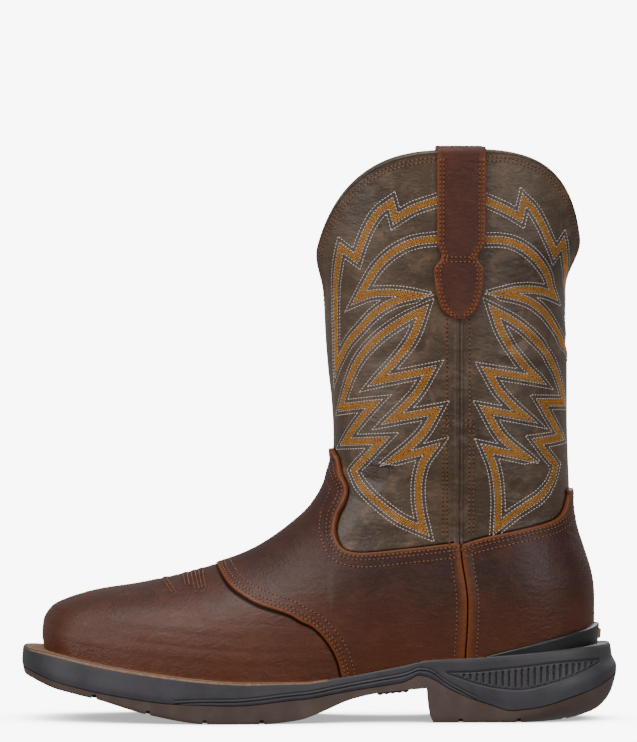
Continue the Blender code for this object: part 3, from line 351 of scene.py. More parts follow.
# Under the first ring: fall for each row, lowest row of the leather and lowest row of a search
ROW_BELOW = 0.006
BOTTOM_ROW = -0.15
SEARCH_BOTTOM = -1.5


def through(table, column, at):
    """Smooth line through one column of a table, without overshoot."""
    keys = np.array([row[0] for row in table], dtype=float)
    values = np.array([row[column] for row in table], dtype=float)
    if keys[0] > keys[-1]:
        keys = keys[::-1]
        values = values[::-1]
    slopes = np.diff(values) / np.diff(keys)
    tangents = np.concatenate((slopes[:1], np.zeros(len(keys) - 2), slopes[-1:]))
    for i in range(1, len(keys) - 1):
        if slopes[i - 1] * slopes[i] > 0.0:
            tangents[i] = 2.0 * slopes[i - 1] * slopes[i] / (slopes[i - 1] + slopes[i])
    at = np.clip(np.asarray(at, dtype=float), keys[0], keys[-1])
    span = np.clip(np.searchsorted(keys, at, side="right") - 1, 0, len(keys) - 2)
    width = np.diff(keys)[span]
    p = (at - keys[span]) / width
    rise = values[span + 1] - values[span]
    start = tangents[span] * width
    end = tangents[span + 1] * width
    return values[span] + p * start + p**2 * (3 * rise - 2 * start - end) + p**3 * (start + end - 2 * rise)


def place(along):
    """X of a share along the last."""
    return HEEL_BACK - np.asarray(along, dtype=float) * LAST_LENGTH


def share(x):
    """Share along the last at an X."""
    return (HEEL_BACK - np.asarray(x, dtype=float)) / LAST_LENGTH


def sole_place(station):
    """X of a station of the sole."""
    station = np.asarray(station, dtype=float)
    behind = HEEL_BACK - station * HEEL_LENGTH
    ahead = HEEL_BACK - HEEL_LENGTH - (station - 1.0) * (LAST_LENGTH - HEEL_LENGTH)
    return np.where(station < 1.0, behind, ahead)


def sole_station(x):
    """Station of the sole at an X."""
    back = HEEL_BACK - np.asarray(x, dtype=float)
    return np.where(back < HEEL_LENGTH, back / HEEL_LENGTH,
                    1.0 + (back - HEEL_LENGTH) / (LAST_LENGTH - HEEL_LENGTH))


def sole_top(x):
    """Height of the sole's top at an X."""
    along = share(x)
    seat = through(FEATHER_LINE, 1, along) * SEAT_RISE
    spring = through(FEATHER_LINE, 2, along) * TOE_SPRING
    return FOREFOOT_THICKNESS + seat + spring


def round_end(distance, length, power):
    """Share of the width that is left near a rounded end."""
    inside = np.clip(1.0 - distance / length, 0.0, 1.0)
    return (1.0 - inside**power) ** (1.0 / power)


def last_half_width(along):
    """Half the last's width at the feather line."""
    along = np.clip(along, 0.0, 1.0)
    heel = round_end(along * LAST_LENGTH, HEEL_ROUNDING, 2.2)
    toe = round_end((1.0 - along) * LAST_LENGTH, TOE_ROUNDING, 2.8)
    return 0.5 * through(OUTLINE, 1, along) * heel * toe


def last_middle(along):
    """Y of the last's middle line."""
    return through(OUTLINE, 2, along) * BALL_WIDTH


def ridge_rise(along):
    """Rise of the instep ridge over the feather line, running on upward behind the ankle."""
    behind = np.maximum(RIDGE[0][0] - along, 0.0)
    return (through(RIDGE, 1, along) + RIDGE_BEHIND * behind) * INSTEP_HEIGHT


def dip_height(s):
    """Height of the collar's front and back dips, read across the ring."""
    front_along, front_in, front_up, back_along, back_in, back_up = UPPER_RINGS[-1][:6]
    front = sole_top(place(front_along)) + front_in * INSTEP_HEIGHT + front_up * SHAFT_HEIGHT
    back = sole_top(place(back_along)) + back_in * INSTEP_HEIGHT + back_up * SHAFT_HEIGHT
    return front + (back - front) * s


def upper_point(row, s, side):
    """Points of the upper's outer face: row up the ring table, s from front to back, side -1 or 1."""
    row = np.asarray(row, dtype=float)
    s = np.asarray(s, dtype=float)
    front_along, front_in, front_up, back_along, back_in, back_up, follow, oval, scallop = (
        through(RING_TABLE, column, row) for column in range(1, 10))
    front_x = place(front_along)
    back_x = place(back_along)
    front_z = sole_top(front_x) + front_in * INSTEP_HEIGHT + front_up * SHAFT_HEIGHT
    back_z = sole_top(back_x) + back_in * INSTEP_HEIGHT + back_up * SHAFT_HEIGHT
    e = 2.0 * s - 1.0
    power = np.where(e < 0.0, FRONT_POWER, BACK_POWER)
    crown = (1.0 - np.abs(e) ** power) ** (1.0 / power)
    rounding = DIP_ROUNDING / SCALLOP_DEPTH
    crown_up = (np.sqrt(crown**2 + rounding**2) - rounding) / (math.sqrt(1.0 + rounding**2) - rounding)
    x = front_x + (back_x - front_x) * s
    sag = sole_top(x) - (sole_top(front_x) * (1.0 - s) + sole_top(back_x) * s)
    z = front_z + (back_z - front_z) * s + follow * sag + scallop * SCALLOP_DEPTH * crown_up
    over_dip = np.clip((z - dip_height(s)) / (FLARE_START * SCALLOP_DEPTH), 0.0, 1.0)
    flare = np.where(e < 0.0, FRONT_FLARE, BACK_FLARE) * e * over_dip**2 * (3.0 - 2.0 * over_dip)
    x = x + flare
    along = share(x)
    toe_along = np.maximum(front_along, np.where(row > TOE_ROW, TOE_REACH, front_along))
    plan = (along - back_along) / (toe_along - back_along)
    # Between two rings the front line leaves the ridge a little, and the halves meet on the front line
    front_rise = (front_z - sole_top(front_x)) / ridge_rise(front_along)
    front_rise = np.where((row > 1.0) & (row < ANKLE_ROW), front_rise, 1.0)
    up = (z - sole_top(x)) / (ridge_rise(along) * front_rise)
    up = np.clip(up, 0.0, 1.0)
    bulge_up = np.clip((z - sole_top(x)) / BULGE_HEIGHT, 0.0, 1.0)
    bulge = through(SECTIONS, 1, along) * np.sin(np.pi * bulge_up)
    closing = (1.0 - up ** through(SECTIONS, 2, along)) ** (1.0 / through(SECTIONS, 3, along))
    foot = last_half_width(plan) * (1.0 + bulge) * closing
    shaft_share = np.clip((row - SHAFT_ROW) / (LAST_ROW - SHAFT_ROW), 0.0, 1.0)
    half_width = 0.5 * (ANKLE_WIDTH + (COLLAR_WIDTH - ANKLE_WIDTH) * shaft_share**WIDENING_POWER)
    shaft = half_width * (1.0 - np.abs(e) ** OVAL_POWER) ** (1.0 / OVAL_POWER)
    middle = (last_middle(along) + CREST_LEAN * through(CREST, 1, along) * up) * (1.0 - oval)
    y = middle + side * (foot * (1.0 - oval) + shaft * oval)
    return np.stack(np.broadcast_arrays(x, y, z), axis=-1)


def boot_point(row, turn):
    """Point of the upper at a row and a turn: 0 at the front, lateral to -pi, medial to pi."""
    row, turn = np.broadcast_arrays(np.asarray(row, dtype=float), np.asarray(turn, dtype=float))
    turn = (turn + math.pi) % (2.0 * math.pi) - math.pi
    side = np.where(turn < 0.0, -1.0, 1.0)
    point = upper_point(np.clip(row, 0.0, LAST_ROW), 0.5 - 0.5 * np.cos(turn), side)
    point[..., 2] += np.minimum(row, 0.0) * ROW_BELOW
    return point


def unit(vectors):
    """Vectors at length one."""
    return vectors / np.maximum(np.linalg.norm(vectors, axis=-1), 1e-12)[..., None]


def boot_normal(row, turn):
    """Outward normal of the upper."""
    up = boot_point(row + 0.03, turn) - boot_point(row - 0.03, turn)
    around = boot_point(row, turn + 0.006) - boot_point(row, turn - 0.006)
    return unit(np.cross(up, around))


def to_polyline(points, line):
    """Nearest points of an open line of any dimension, and the distances to it."""
    start = line[:-1]
    step = line[1:] - start
    long = np.maximum(np.sum(step * step, axis=1), 1e-18)
    best = np.full(len(points), 1e9)
    nearest = np.zeros_like(points)
    for a, d, n in zip(start, step, long):
        p = np.clip((points - a) @ d / n, 0.0, 1.0)
        q = a + p[:, None] * d
        away = np.linalg.norm(points - q, axis=1)
        closer = away < best
        best[closer] = away[closer]
        nearest[closer] = q[closer]
    return nearest, best


def relief(points, folds=()):
    """How far creases and folds move points of the upper along their normals."""
    moved = np.zeros(points.shape[:-1])
    flat = points.reshape(-1, 3)[:, (0, 2)]
    total = moved.reshape(-1)
    for line, depth, half in tuple(CREASES) + tuple(folds):
        line = np.array(line) * 0.001
        reach = half * 0.003
        near = np.all((flat > line.min(0) - reach) & (flat < line.max(0) + reach), axis=1)
        if not near.any():
            continue
        _, away = to_polyline(flat[near], line)
        p = away / (half * 0.001)
        bulge = CREASE_BULGE * np.exp(-0.5 * (p - CREASE_BULGE_AT) ** 2)
        total[near] -= depth * 0.001 * (np.exp(-0.5 * p * p) - bulge)
    near = np.abs(flat[:, 0] - SEAM_X) < 0.02
    seam = side_line(LOWER_SEAM)
    low = flat[:, 1] < seam[:, 1].max()
    _, away = to_polyline(flat[near & low], seam)
    p = np.clip((SEAM_FOLD + 0.5 * SEAM_SOFT - away) / SEAM_SOFT, 0.0, 1.0)
    total[near & low] += SEAM_RISE * p * p * (3.0 - 2.0 * p)
    return moved


def side_line(table, shift=0.0, inset=0.0, steps=8):
    """Smooth line of X and Z through a side view table, shifted along the boot and moved to its left."""
    ankle = float(sole_top(place(RIDGE[0][0]))) + INSTEP_HEIGHT
    points = np.array([(place(row[0]) + shift, row[1] * ankle) for row in table])
    line = smooth_line(points, steps)
    tangent = unit(np.gradient(line, axis=0))
    return line + inset * np.stack((-tangent[:, 1], tangent[:, 0]), axis=-1)


def smooth_line(points, steps):
    """Curve through points of two coordinates."""
    line = []
    for i in range(len(points) - 1):
        before = points[max(i - 1, 0)]
        after = points[min(i + 2, len(points) - 1)]
        start = 0.5 * (points[i + 1] - before)
        end = 0.5 * (after - points[i])
        rise = points[i + 1] - points[i]
        for p in np.arange(steps) / steps:
            line.append(points[i] + p * start + p**2 * (3 * rise - 2 * start - end)
                        + p**3 * (start + end - 2 * rise))
    line.append(points[-1])
    return np.array(line)


def tree_of(points):
    """Search tree over points."""
    tree = KDTree(len(points))
    for i, point in enumerate(points):
        tree.insert(point, i)
    tree.balance()
    return tree


def search_tree():
    """Coarse points of the upper's side view, to start a search from."""
    rows = np.linspace(SEARCH_BOTTOM, LAST_ROW, 118)
    turns = np.linspace(0.0, math.pi, 91)
    grid_rows, grid_turns = (g.ravel() for g in np.meshgrid(rows, turns, indexing="ij"))
    points = boot_point(grid_rows, grid_turns) * (1.0, 0.0, 1.0)
    return tree_of(points), grid_rows, grid_turns


def find_on_boot(x, z):
    """Rows and turns of side view points on the upper, and how far each search ended from its point."""
    tree, grid_rows, grid_turns = SEARCH
    near = np.array([tree.find((a, 0.0, b))[1] for a, b in zip(x, z)], dtype=int)
    row = grid_rows[near]
    turn = grid_turns[near]
    step = 1e-4
    for _ in range(12):
        here = boot_point(row, turn)
        by_row = (boot_point(row + step, turn) - boot_point(row - step, turn)) / (2.0 * step)
        by_turn = (boot_point(row, turn + step) - here) / step
        miss_x = x - here[:, 0]
        miss_z = z - here[:, 2]
        area = by_row[:, 0] * by_turn[:, 2] - by_row[:, 2] * by_turn[:, 0]
        area = np.where(np.abs(area) < 1e-9, 1e-9, area)
        row_step = (miss_x * by_turn[:, 2] - miss_z * by_turn[:, 0]) / area
        turn_step = (by_row[:, 0] * miss_z - by_row[:, 2] * miss_x) / area
        row = np.clip(row + np.clip(row_step, -0.5, 0.5), SEARCH_BOTTOM, LAST_ROW)
        turn = np.clip(turn + np.clip(turn_step, -0.15, 0.15), 0.002, math.pi - 0.002)
    here = boot_point(row, turn)
    return row, turn, np.hypot(here[:, 0] - x, here[:, 2] - z)


SEARCH = search_tree()

# A search that ends nearer than this has found its point
SEARCH_MISS = 0.00004


def from_side(points):
    """Rows and turns of side view points, and which of them lie on the boot."""
    row, turn, miss = find_on_boot(points[:, 0], points[:, 1])
    return row, turn, miss < SEARCH_MISS


def grid_on_boot(x, z, side):
    """Points and normals of the boot at a grid of side view points, on one side."""
    row, turn, _ = find_on_boot(x.ravel(), z.ravel())
    return [of(row, turn * side).reshape(x.shape + (3,)) for of in (boot_point, boot_normal)]


def on_boot(line):
    """Rows and turns of the part of a side view line that lies on the upper."""
    row, turn, found = from_side(line)
    return np.stack((row[found], turn[found]), axis=-1)


def meets_silhouette(line, turn):
    """Row where a side view line meets the front or back line of the upper."""
    rows = np.linspace(0.0, LAST_ROW, 3601)
    points = boot_point(rows, turn + 0.0 * rows)[:, (0, 2)]
    _, away = to_polyline(points, line)
    return rows[np.argmin(away)]


def mirrored(line):
    """The same line on the lateral side."""
    return line * (1.0, -1.0)


def past_back(line):
    """The same line on the lateral side, its turns counted on past the back."""
    return np.stack((line[:, 0], 2.0 * math.pi - line[:, 1]), axis=-1)


# Longest steps of an outline in rows and in turns
OUTLINE_STEPS = (0.04, 0.003)


def closed_outline(*lines):
    """Closed outline of rows and turns through lines, not lower than the bottom row, in short steps."""
    points = np.concatenate([np.atleast_2d(np.array(line, dtype=float)) for line in lines])
    points[:, 0] = np.maximum(points[:, 0], BOTTOM_ROW)
    dense = []
    for a, b in zip(points, np.roll(points, -1, axis=0)):
        row_steps, turn_steps = (math.ceil(abs(b[k] - a[k]) / OUTLINE_STEPS[k]) for k in (0, 1))
        count = max(1, row_steps, turn_steps)
        dense.append(a + (b - a) * (np.arange(count) / count)[:, None])
    return np.concatenate(dense)


def inside_outline(rows, turns, outline):
    """True where a grid of rows and turns lies inside an outline."""
    a = outline
    b = np.roll(outline, -1, axis=0)
    inside = np.zeros((len(rows), len(turns)), dtype=bool)
    for i, row in enumerate(rows):
        crosses = (a[:, 0] > row) != (b[:, 0] > row)
        start = a[crosses]
        end = b[crosses]
        at = start[:, 1] + (row - start[:, 0]) / (end[:, 0] - start[:, 0]) * (end[:, 1] - start[:, 1])
        inside[i] = np.searchsorted(np.sort(at), turns) % 2 == 1
    return inside


def to_outline(points, line):
    """Nearest points of a closed dense line, and the distances to it."""
    tree = tree_of(line)
    near = np.array([tree.find(point)[1] for point in points], dtype=int)
    best = np.full(len(points), 1e9)
    nearest = np.zeros_like(points)
    for a in (near - 1, near):
        start = line[a]
        step = line[(a + 1) % len(line)] - start
        long = np.maximum(np.sum(step * step, axis=1), 1e-18)
        p = np.clip(np.sum((points - start) * step, axis=1) / long, 0.0, 1.0)
        q = start + p[:, None] * step
        away = np.linalg.norm(points - q, axis=1)
        closer = away < best
        best[closer] = away[closer]
        nearest[closer] = q[closer]
    return nearest, best


def mark(mesh, name, values):
    """Stores a number at each vertex for the materials."""
    if name not in mesh.attributes:
        mesh.attributes.new(name, "FLOAT", "POINT")
    mesh.attributes[name].data.foreach_set("value", np.asarray(values, dtype=np.float32))


def places_of(mesh):
    """Vertex places of a mesh."""
    points = np.empty(len(mesh.vertices) * 3)
    mesh.vertices.foreach_get("co", points)
    return points.reshape(-1, 3)


def shade_under(mesh, tables):
    """Stores how far the surface lies from the leather edges that cover it, for the painted shade along
    them.
    """
    flat = places_of(mesh)[:, (0, 2)]
    away = np.full(len(flat), 1.0)
    for table in tables:
        away = np.minimum(away, to_polyline(flat, side_line(table))[1])
    mark(mesh, "cover_shade_mm", 1000.0 * away)


# Millimetres to an edge, and to a covering edge along which shade is painted, written on pieces that have
# none
FAR_AWAY = 1000.0


def placed(name, data):
    """New object in the scene."""
    obj = bpy.data.objects.new(name, data)
    bpy.context.scene.collection.objects.link(obj)
    return obj


def new_piece(name, mesh, material, replaces=()):
    """Finished piece that rides on the boot."""
    for attribute in ("edge_mm", "cover_shade_mm"):
        if attribute not in mesh.attributes:
            mark(mesh, attribute, np.full(len(mesh.vertices), FAR_AWAY))
    obj = placed(name, mesh)
    mesh.materials.append(material)
    mesh.shade_smooth()
    if replaces:
        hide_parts(*replaces)
    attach(obj, "root")
    return obj


def mesh_from(bm, name):
    """Mesh of a bmesh, which is freed."""
    mesh = bpy.data.meshes.new(name)
    bm.to_mesh(mesh)
    bm.free()
    return mesh


def close_ends(mesh, split_ends=False):
    """Closes the open ends of a mesh and points its faces outwards."""
    bm = bmesh.new()
    bm.from_mesh(mesh)
    bmesh.ops.holes_fill(bm, edges=[e for e in bm.edges if e.is_boundary])
    if split_ends:
        bmesh.ops.triangulate(bm, faces=[f for f in bm.faces if len(f.verts) > 4])
    bmesh.ops.recalc_face_normals(bm, faces=bm.faces)
    bm.to_mesh(mesh)
    bm.free()


def grid_places(bm, rows, columns):
    """Row and column of each vertex of a grid of size one."""
    for vertex in bm.verts:
        i = round((vertex.co.x + 0.5) * (rows - 1))
        j = round((vertex.co.y + 0.5) * (columns - 1))
        yield vertex, i, j


def skin(name, points, wrap_rows=False, wrap_columns=False, flip=False):
    """Mesh of a grid laid through an array of points, welded where it closes on itself."""
    rows, columns = points.shape[:2]
    bm = bmesh.new()
    bmesh.ops.create_grid(bm, x_segments=rows - 1, y_segments=columns - 1, size=0.5)
    for vertex, i, j in grid_places(bm, rows, columns):
        vertex.co = points[i, j]
    edge = [v for v in bm.verts if v.is_boundary]
    if wrap_rows or wrap_columns:
        bmesh.ops.remove_doubles(bm, verts=edge, dist=1e-7)
    if flip:
        bmesh.ops.reverse_faces(bm, faces=bm.faces)
    return mesh_from(bm, name)


# Rounded edge of a leather piece: how far out towards its outline, share of its height
EDGE_PROFILE = (
    (0.45, 0.96), (0.80, 0.80), (1.00, 0.45), (1.00, 0.00),
)

# Leather pieces: height where their edges end, a little under the surface, width of the rounding,
# steps in rows and in turns
PANEL_SINK = -0.0002
PANEL_EDGE = 0.0007
PANEL_STEPS = (0.092, 0.0080)


def make_panel(name, outline, face, material, replaces=(), low=PANEL_SINK, edge=PANEL_EDGE,
               steps=PANEL_STEPS, folds=(), under=()):
    """Leather piece over the upper, cut to an outline of rows and turns, with a rounded edge."""
    low_corner = outline.min(0)
    high_corner = outline.max(0)
    count = [int((high_corner[k] - low_corner[k]) / steps[k]) + 2 for k in (0, 1)]
    rows = np.linspace(low_corner[0] - 0.02, high_corner[0] + 0.02, count[0])
    turns = np.linspace(low_corner[1] - 0.003, high_corner[1] + 0.003, count[1])
    row, turn = np.meshgrid(rows, turns, indexing="ij")
    line = boot_point(outline[:, 0], outline[:, 1])
    points = boot_point(row, turn)
    _, away = to_outline(points.reshape(-1, 3), line)
    inside = inside_outline(rows, turns, outline)
    over = np.where(inside, away.reshape(row.shape), -away.reshape(row.shape)) - edge
    row, turn, over = snap_to_edge(row, turn, over)
    base = boot_point(row, turn)
    normal = boot_normal(row, turn)
    height = face + relief(base, folds)
    bm = bmesh.new()
    number = bm.verts.layers.int.new("number")
    bmesh.ops.create_grid(bm, x_segments=count[0] - 1, y_segments=count[1] - 1, size=0.5)
    for vertex, i, j in grid_places(bm, count[0], count[1]):
        vertex[number] = i * count[1] + j
    base = base.reshape(-1, 3)
    normal = normal.reshape(-1, 3)
    height = height.ravel()
    over = over.ravel()
    for vertex in bm.verts:
        n = vertex[number]
        vertex.co = base[n] + normal[n] * height[n]
    cut_outside(bm, number, over)
    extrude_edge(bm, number, base, normal, height, line, low)
    distance = bm.verts.layers.float.new("edge_mm")
    for vertex in bm.verts:
        if not vertex.tag:
            vertex[distance] = 1000.0 * (over[vertex[number]] + edge)
    mesh = mesh_from(bm, name)
    worn = np.empty(len(mesh.vertices))
    mesh.attributes["edge_mm"].data.foreach_get("value", worn)
    beside_seam = to_polyline(places_of(mesh)[:, (0, 2)], side_line(LOWER_SEAM))[1]
    mark(mesh, "edge_mm", np.minimum(worn, 1000.0 * SEAM_WEAR * beside_seam))
    shade_under(mesh, under)
    return new_piece(name, mesh, material, replaces)


def snap_to_edge(row, turn, over):
    """Moves the grid points next to an outline onto it, along the grid line that crosses it soonest."""
    best = np.full(row.shape, 0.5)
    new_row = row.copy()
    new_turn = turn.copy()
    for axis, shift in ((0, 1), (0, -1), (1, 1), (1, -1)):
        other = np.roll(over, shift, axis)
        border = np.zeros(row.shape, dtype=bool)
        index = [slice(None), slice(None)]
        index[axis] = 0 if shift > 0 else -1
        border[tuple(index)] = True
        crosses = (over * other < 0.0) & ~border
        share_to = np.where(crosses, over / np.where(crosses, over - other, 1.0), 1.0)
        take = crosses & (share_to <= best)
        best[take] = share_to[take]
        new_row[take] = (row + share_to * (np.roll(row, shift, axis) - row))[take]
        new_turn[take] = (turn + share_to * (np.roll(turn, shift, axis) - turn))[take]
    snapped = (new_row != row) | (new_turn != turn)
    return new_row, new_turn, np.where(snapped, 0.0, over)


def cut_outside(bm, number, over):
    """Removes what lies outside an outline, where each crossing edge already has a corner on it."""
    mixed = []
    outside = []
    for face in bm.faces:
        values = [over[v[number]] for v in face.verts]
        if min(values) < 0.0:
            if max(values) > 0.0:
                mixed.append(face)
            else:
                outside.append(face)
        elif max(values) == 0.0:
            outside.append(face)
    for face in mixed:
        on = [v for v in face.verts if over[v[number]] == 0.0]
        if len(on) == 2:
            part, _ = bmesh.utils.face_split(face, on[0], on[1])
            for half in (face, part):
                if any(over[v[number]] < 0.0 for v in half.verts):
                    outside.append(half)
        else:
            outside.append(face)
    bmesh.ops.delete(bm, geom=outside, context="FACES")


def extrude_edge(bm, number, base, normal, height, line, low):
    """Runs a rounded edge from the border of a trimmed piece down to what it lies on."""
    border = [e for e in bm.edges if e.is_boundary]
    ring = list({v for e in border for v in e.verts})
    places = np.array([v[number] for v in ring])
    nearest, _ = to_outline(base[places], line)
    outward = dict(zip(places.tolist(), nearest - base[places]))
    for vertex in bm.verts:
        vertex.tag = False
    edges = border
    for out, share_up in EDGE_PROFILE:
        made = bmesh.ops.extrude_edge_only(bm, edges=edges)["geom"]
        verts = [g for g in made if isinstance(g, bmesh.types.BMVert)]
        fresh = set(verts)
        edges = [g for g in made if isinstance(g, bmesh.types.BMEdge) and fresh.issuperset(g.verts)]
        for vertex in verts:
            n = vertex[number]
            up = low + (height[n] - low) * share_up
            vertex.co = base[n] + outward[n] * out + normal[n] * up
            vertex.tag = True
    bmesh.ops.recalc_face_normals(bm, faces=bm.faces)
    probe = max(bm.faces, key=lambda f: f.calc_area())
    if probe.normal.dot(Vector(normal[probe.verts[0][number]])) < 0.0:
        bmesh.ops.reverse_faces(bm, faces=bm.faces)


def along_line(points):
    """Distance from the start of a line to each of its points."""
    return np.concatenate(((0.0,), np.cumsum(np.linalg.norm(np.diff(points, axis=0), axis=1))))


# Steps in which a line is laid on the boot before it is sewn
SEW_STEP = 0.0004


def sew(lines, face, pitch, sides=(-1.0, 1.0), lay=from_side):
    """Middles, directions and normals of stitches along lines, on the given sides."""
    dense = [even_steps(line, SEW_STEP) for line in lines]
    ends = np.cumsum([len(line) for line in dense])
    row, turn, found = lay(np.concatenate(dense))
    frames = []
    for side in sides:
        places = []
        points = boot_point(row, turn * side)
        for a, b in zip(np.concatenate(((0,), ends[:-1])), ends):
            keep = found[a:b]
            if keep.sum() > 2:
                places.append(spaced(row[a:b][keep], turn[a:b][keep] * side, points[a:b][keep], pitch))
        frames.append(frames_at(places, face))
    return joined(frames)


def points_at(at, distance, line):
    """Points of a line at distances along it."""
    return np.stack([np.interp(at, distance, line[:, k]) for k in range(line.shape[1])], axis=-1)


def even_steps(line, step, fewest=3):
    """Points at even steps along a line."""
    distance = along_line(line)
    at = np.linspace(0.0, distance[-1], max(fewest, int(distance[-1] / step)))
    return points_at(at, distance, line)


def spaced(row, turn, points, pitch):
    """Rows, turns and directions at even distances along a line on the boot, from half a pitch on."""
    distance = along_line(points)
    at = np.arange(pitch * 0.5, distance[-1], pitch)
    ahead = points_at(at + 0.0003, distance, points)
    behind = points_at(at - 0.0003, distance, points)
    return np.interp(at, distance, row), np.interp(at, distance, turn), ahead - behind


def frames_at(places, face):
    """Middles, directions and normals over the upper at sets of rows, turns and directions."""
    row, turn, ahead = (np.concatenate([p[k] for p in places]) for k in range(3))
    base = boot_point(row, turn)
    normal = boot_normal(row, turn)
    return base + normal * (face + relief(base))[:, None], unit(ahead), normal


def joined(frames):
    """Several sets of frames as one."""
    return tuple(np.concatenate([f[k] for f in frames]) for k in range(3))


def scatter(name, frames, size, material, segments=(4, 3), sink=0.0, spin=0.0):
    """One mesh of many small rounded beads, each at its frame; size is length, width and height."""
    middle, tangent, normal = frames
    tangent = unit(tangent)
    across = unit(np.cross(normal, tangent))
    if np.any(spin):
        cos = np.cos(spin)[:, None] if np.ndim(spin) else math.cos(spin)
        sin = np.sin(spin)[:, None] if np.ndim(spin) else math.sin(spin)
        tangent, across = tangent * cos + across * sin, across * cos - tangent * sin
    bead = bmesh.new()
    bmesh.ops.create_uvsphere(bead, u_segments=segments[0], v_segments=segments[1], radius=0.5)
    bead.verts.index_update()
    shape = np.array([tuple(v.co) for v in bead.verts])
    faces = [[v.index for v in f.verts] for f in bead.faces]
    bead.free()
    local = shape[None, :, 2:3] * size[0] * tangent[:, None, :]
    local = local + shape[None, :, 0:1] * size[1] * across[:, None, :]
    bent = shape[None, :, 1:2] * size[2] - sink * (2.0 * shape[None, :, 2:3]) ** 2
    points = middle[:, None, :] + local + bent * normal[:, None, :]
    count = len(middle)
    mesh = bpy.data.meshes.new(name)
    mesh.vertices.add(count * len(shape))
    mesh.vertices.foreach_set("co", points.reshape(-1))
    sizes = np.tile([len(f) for f in faces], count)
    corners = np.concatenate([f for f in faces])
    loops = (corners[None, :] + (np.arange(count) * len(shape))[:, None]).reshape(-1)
    mesh.loops.add(len(loops))
    mesh.loops.foreach_set("vertex_index", loops.astype(np.int32))
    mesh.polygons.add(len(sizes))
    mesh.polygons.foreach_set("loop_start", np.concatenate(((0,), np.cumsum(sizes)[:-1])).astype(np.int32))
    mesh.update(calc_edges=True)
    mesh.validate()
    return new_piece(name, mesh, material)


def linear(colour):
    """Linear colour of an sRGB hex value."""
    parts = [int(colour[i:i + 2], 16) / 255.0 for i in (1, 3, 5)]
    return tuple(c / 12.92 if c <= 0.04045 else ((c + 0.055) / 1.055) ** 2.4 for c in parts) + (1.0,)


def node(tree, kind, inputs=None, **settings):
    """Adds a node with its settings and links."""
    made = tree.nodes.new(kind)
    for key, value in settings.items():
        setattr(made, key, value)
    for key, value in (inputs or {}).items():
        if isinstance(value, bpy.types.NodeSocket):
            tree.links.new(value, made.inputs[key])
        else:
            made.inputs[key].default_value = value
    return made


def new_finish(name):
    """Material with an empty Principled shader, its tree and Object coordinates."""
    material = bpy.data.materials.new(name)
    material.use_nodes = True
    tree = material.node_tree
    shader = tree.nodes["Principled BSDF"]
    place_node = node(tree, "ShaderNodeTexCoord")
    return material, tree, shader, place_node.outputs["Object"]


def mix_colours(tree, factor, first, second, blend="MIX"):
    """Colour between two."""
    made = node(tree, "ShaderNodeMix", {0: factor, 6: first, 7: second}, data_type="RGBA", blend_type=blend)
    return made.outputs[2]


def ramp(tree, value, low, high, from_value=0.0, to_value=1.0):
    """Value remapped from low..high, held at the ends."""
    made = node(tree, "ShaderNodeMapRange",
                {0: value, 1: low, 2: high, 3: from_value, 4: to_value}, interpolation_type="SMOOTHSTEP")
    return made.outputs[0]


def repeats(size):
    """Scale of a pattern whose main size is given in millimetres."""
    return float(round(1000.0 / size))


def noise(tree, where, size, detail, roughness, distortion=0.0):
    """Noise with its main size in millimetres."""
    made = node(tree, "ShaderNodeTexNoise", {"Vector": where, "Scale": repeats(size), "Detail": detail,
                                             "Roughness": roughness, "Distortion": distortion})
    return made.outputs["Fac"]


def bumped(tree, height, strength, distance, under=None):
    """Bump of a pattern, on top of another bump."""
    inputs = {"Height": height, "Strength": strength, "Distance": distance}
    if under is not None:
        inputs["Normal"] = under
    return node(tree, "ShaderNodeBump", inputs).outputs[0]


def stored(tree, name):
    """Number stored at the vertices of a piece."""
    return node(tree, "ShaderNodeAttribute", attribute_name=name).outputs["Fac"]


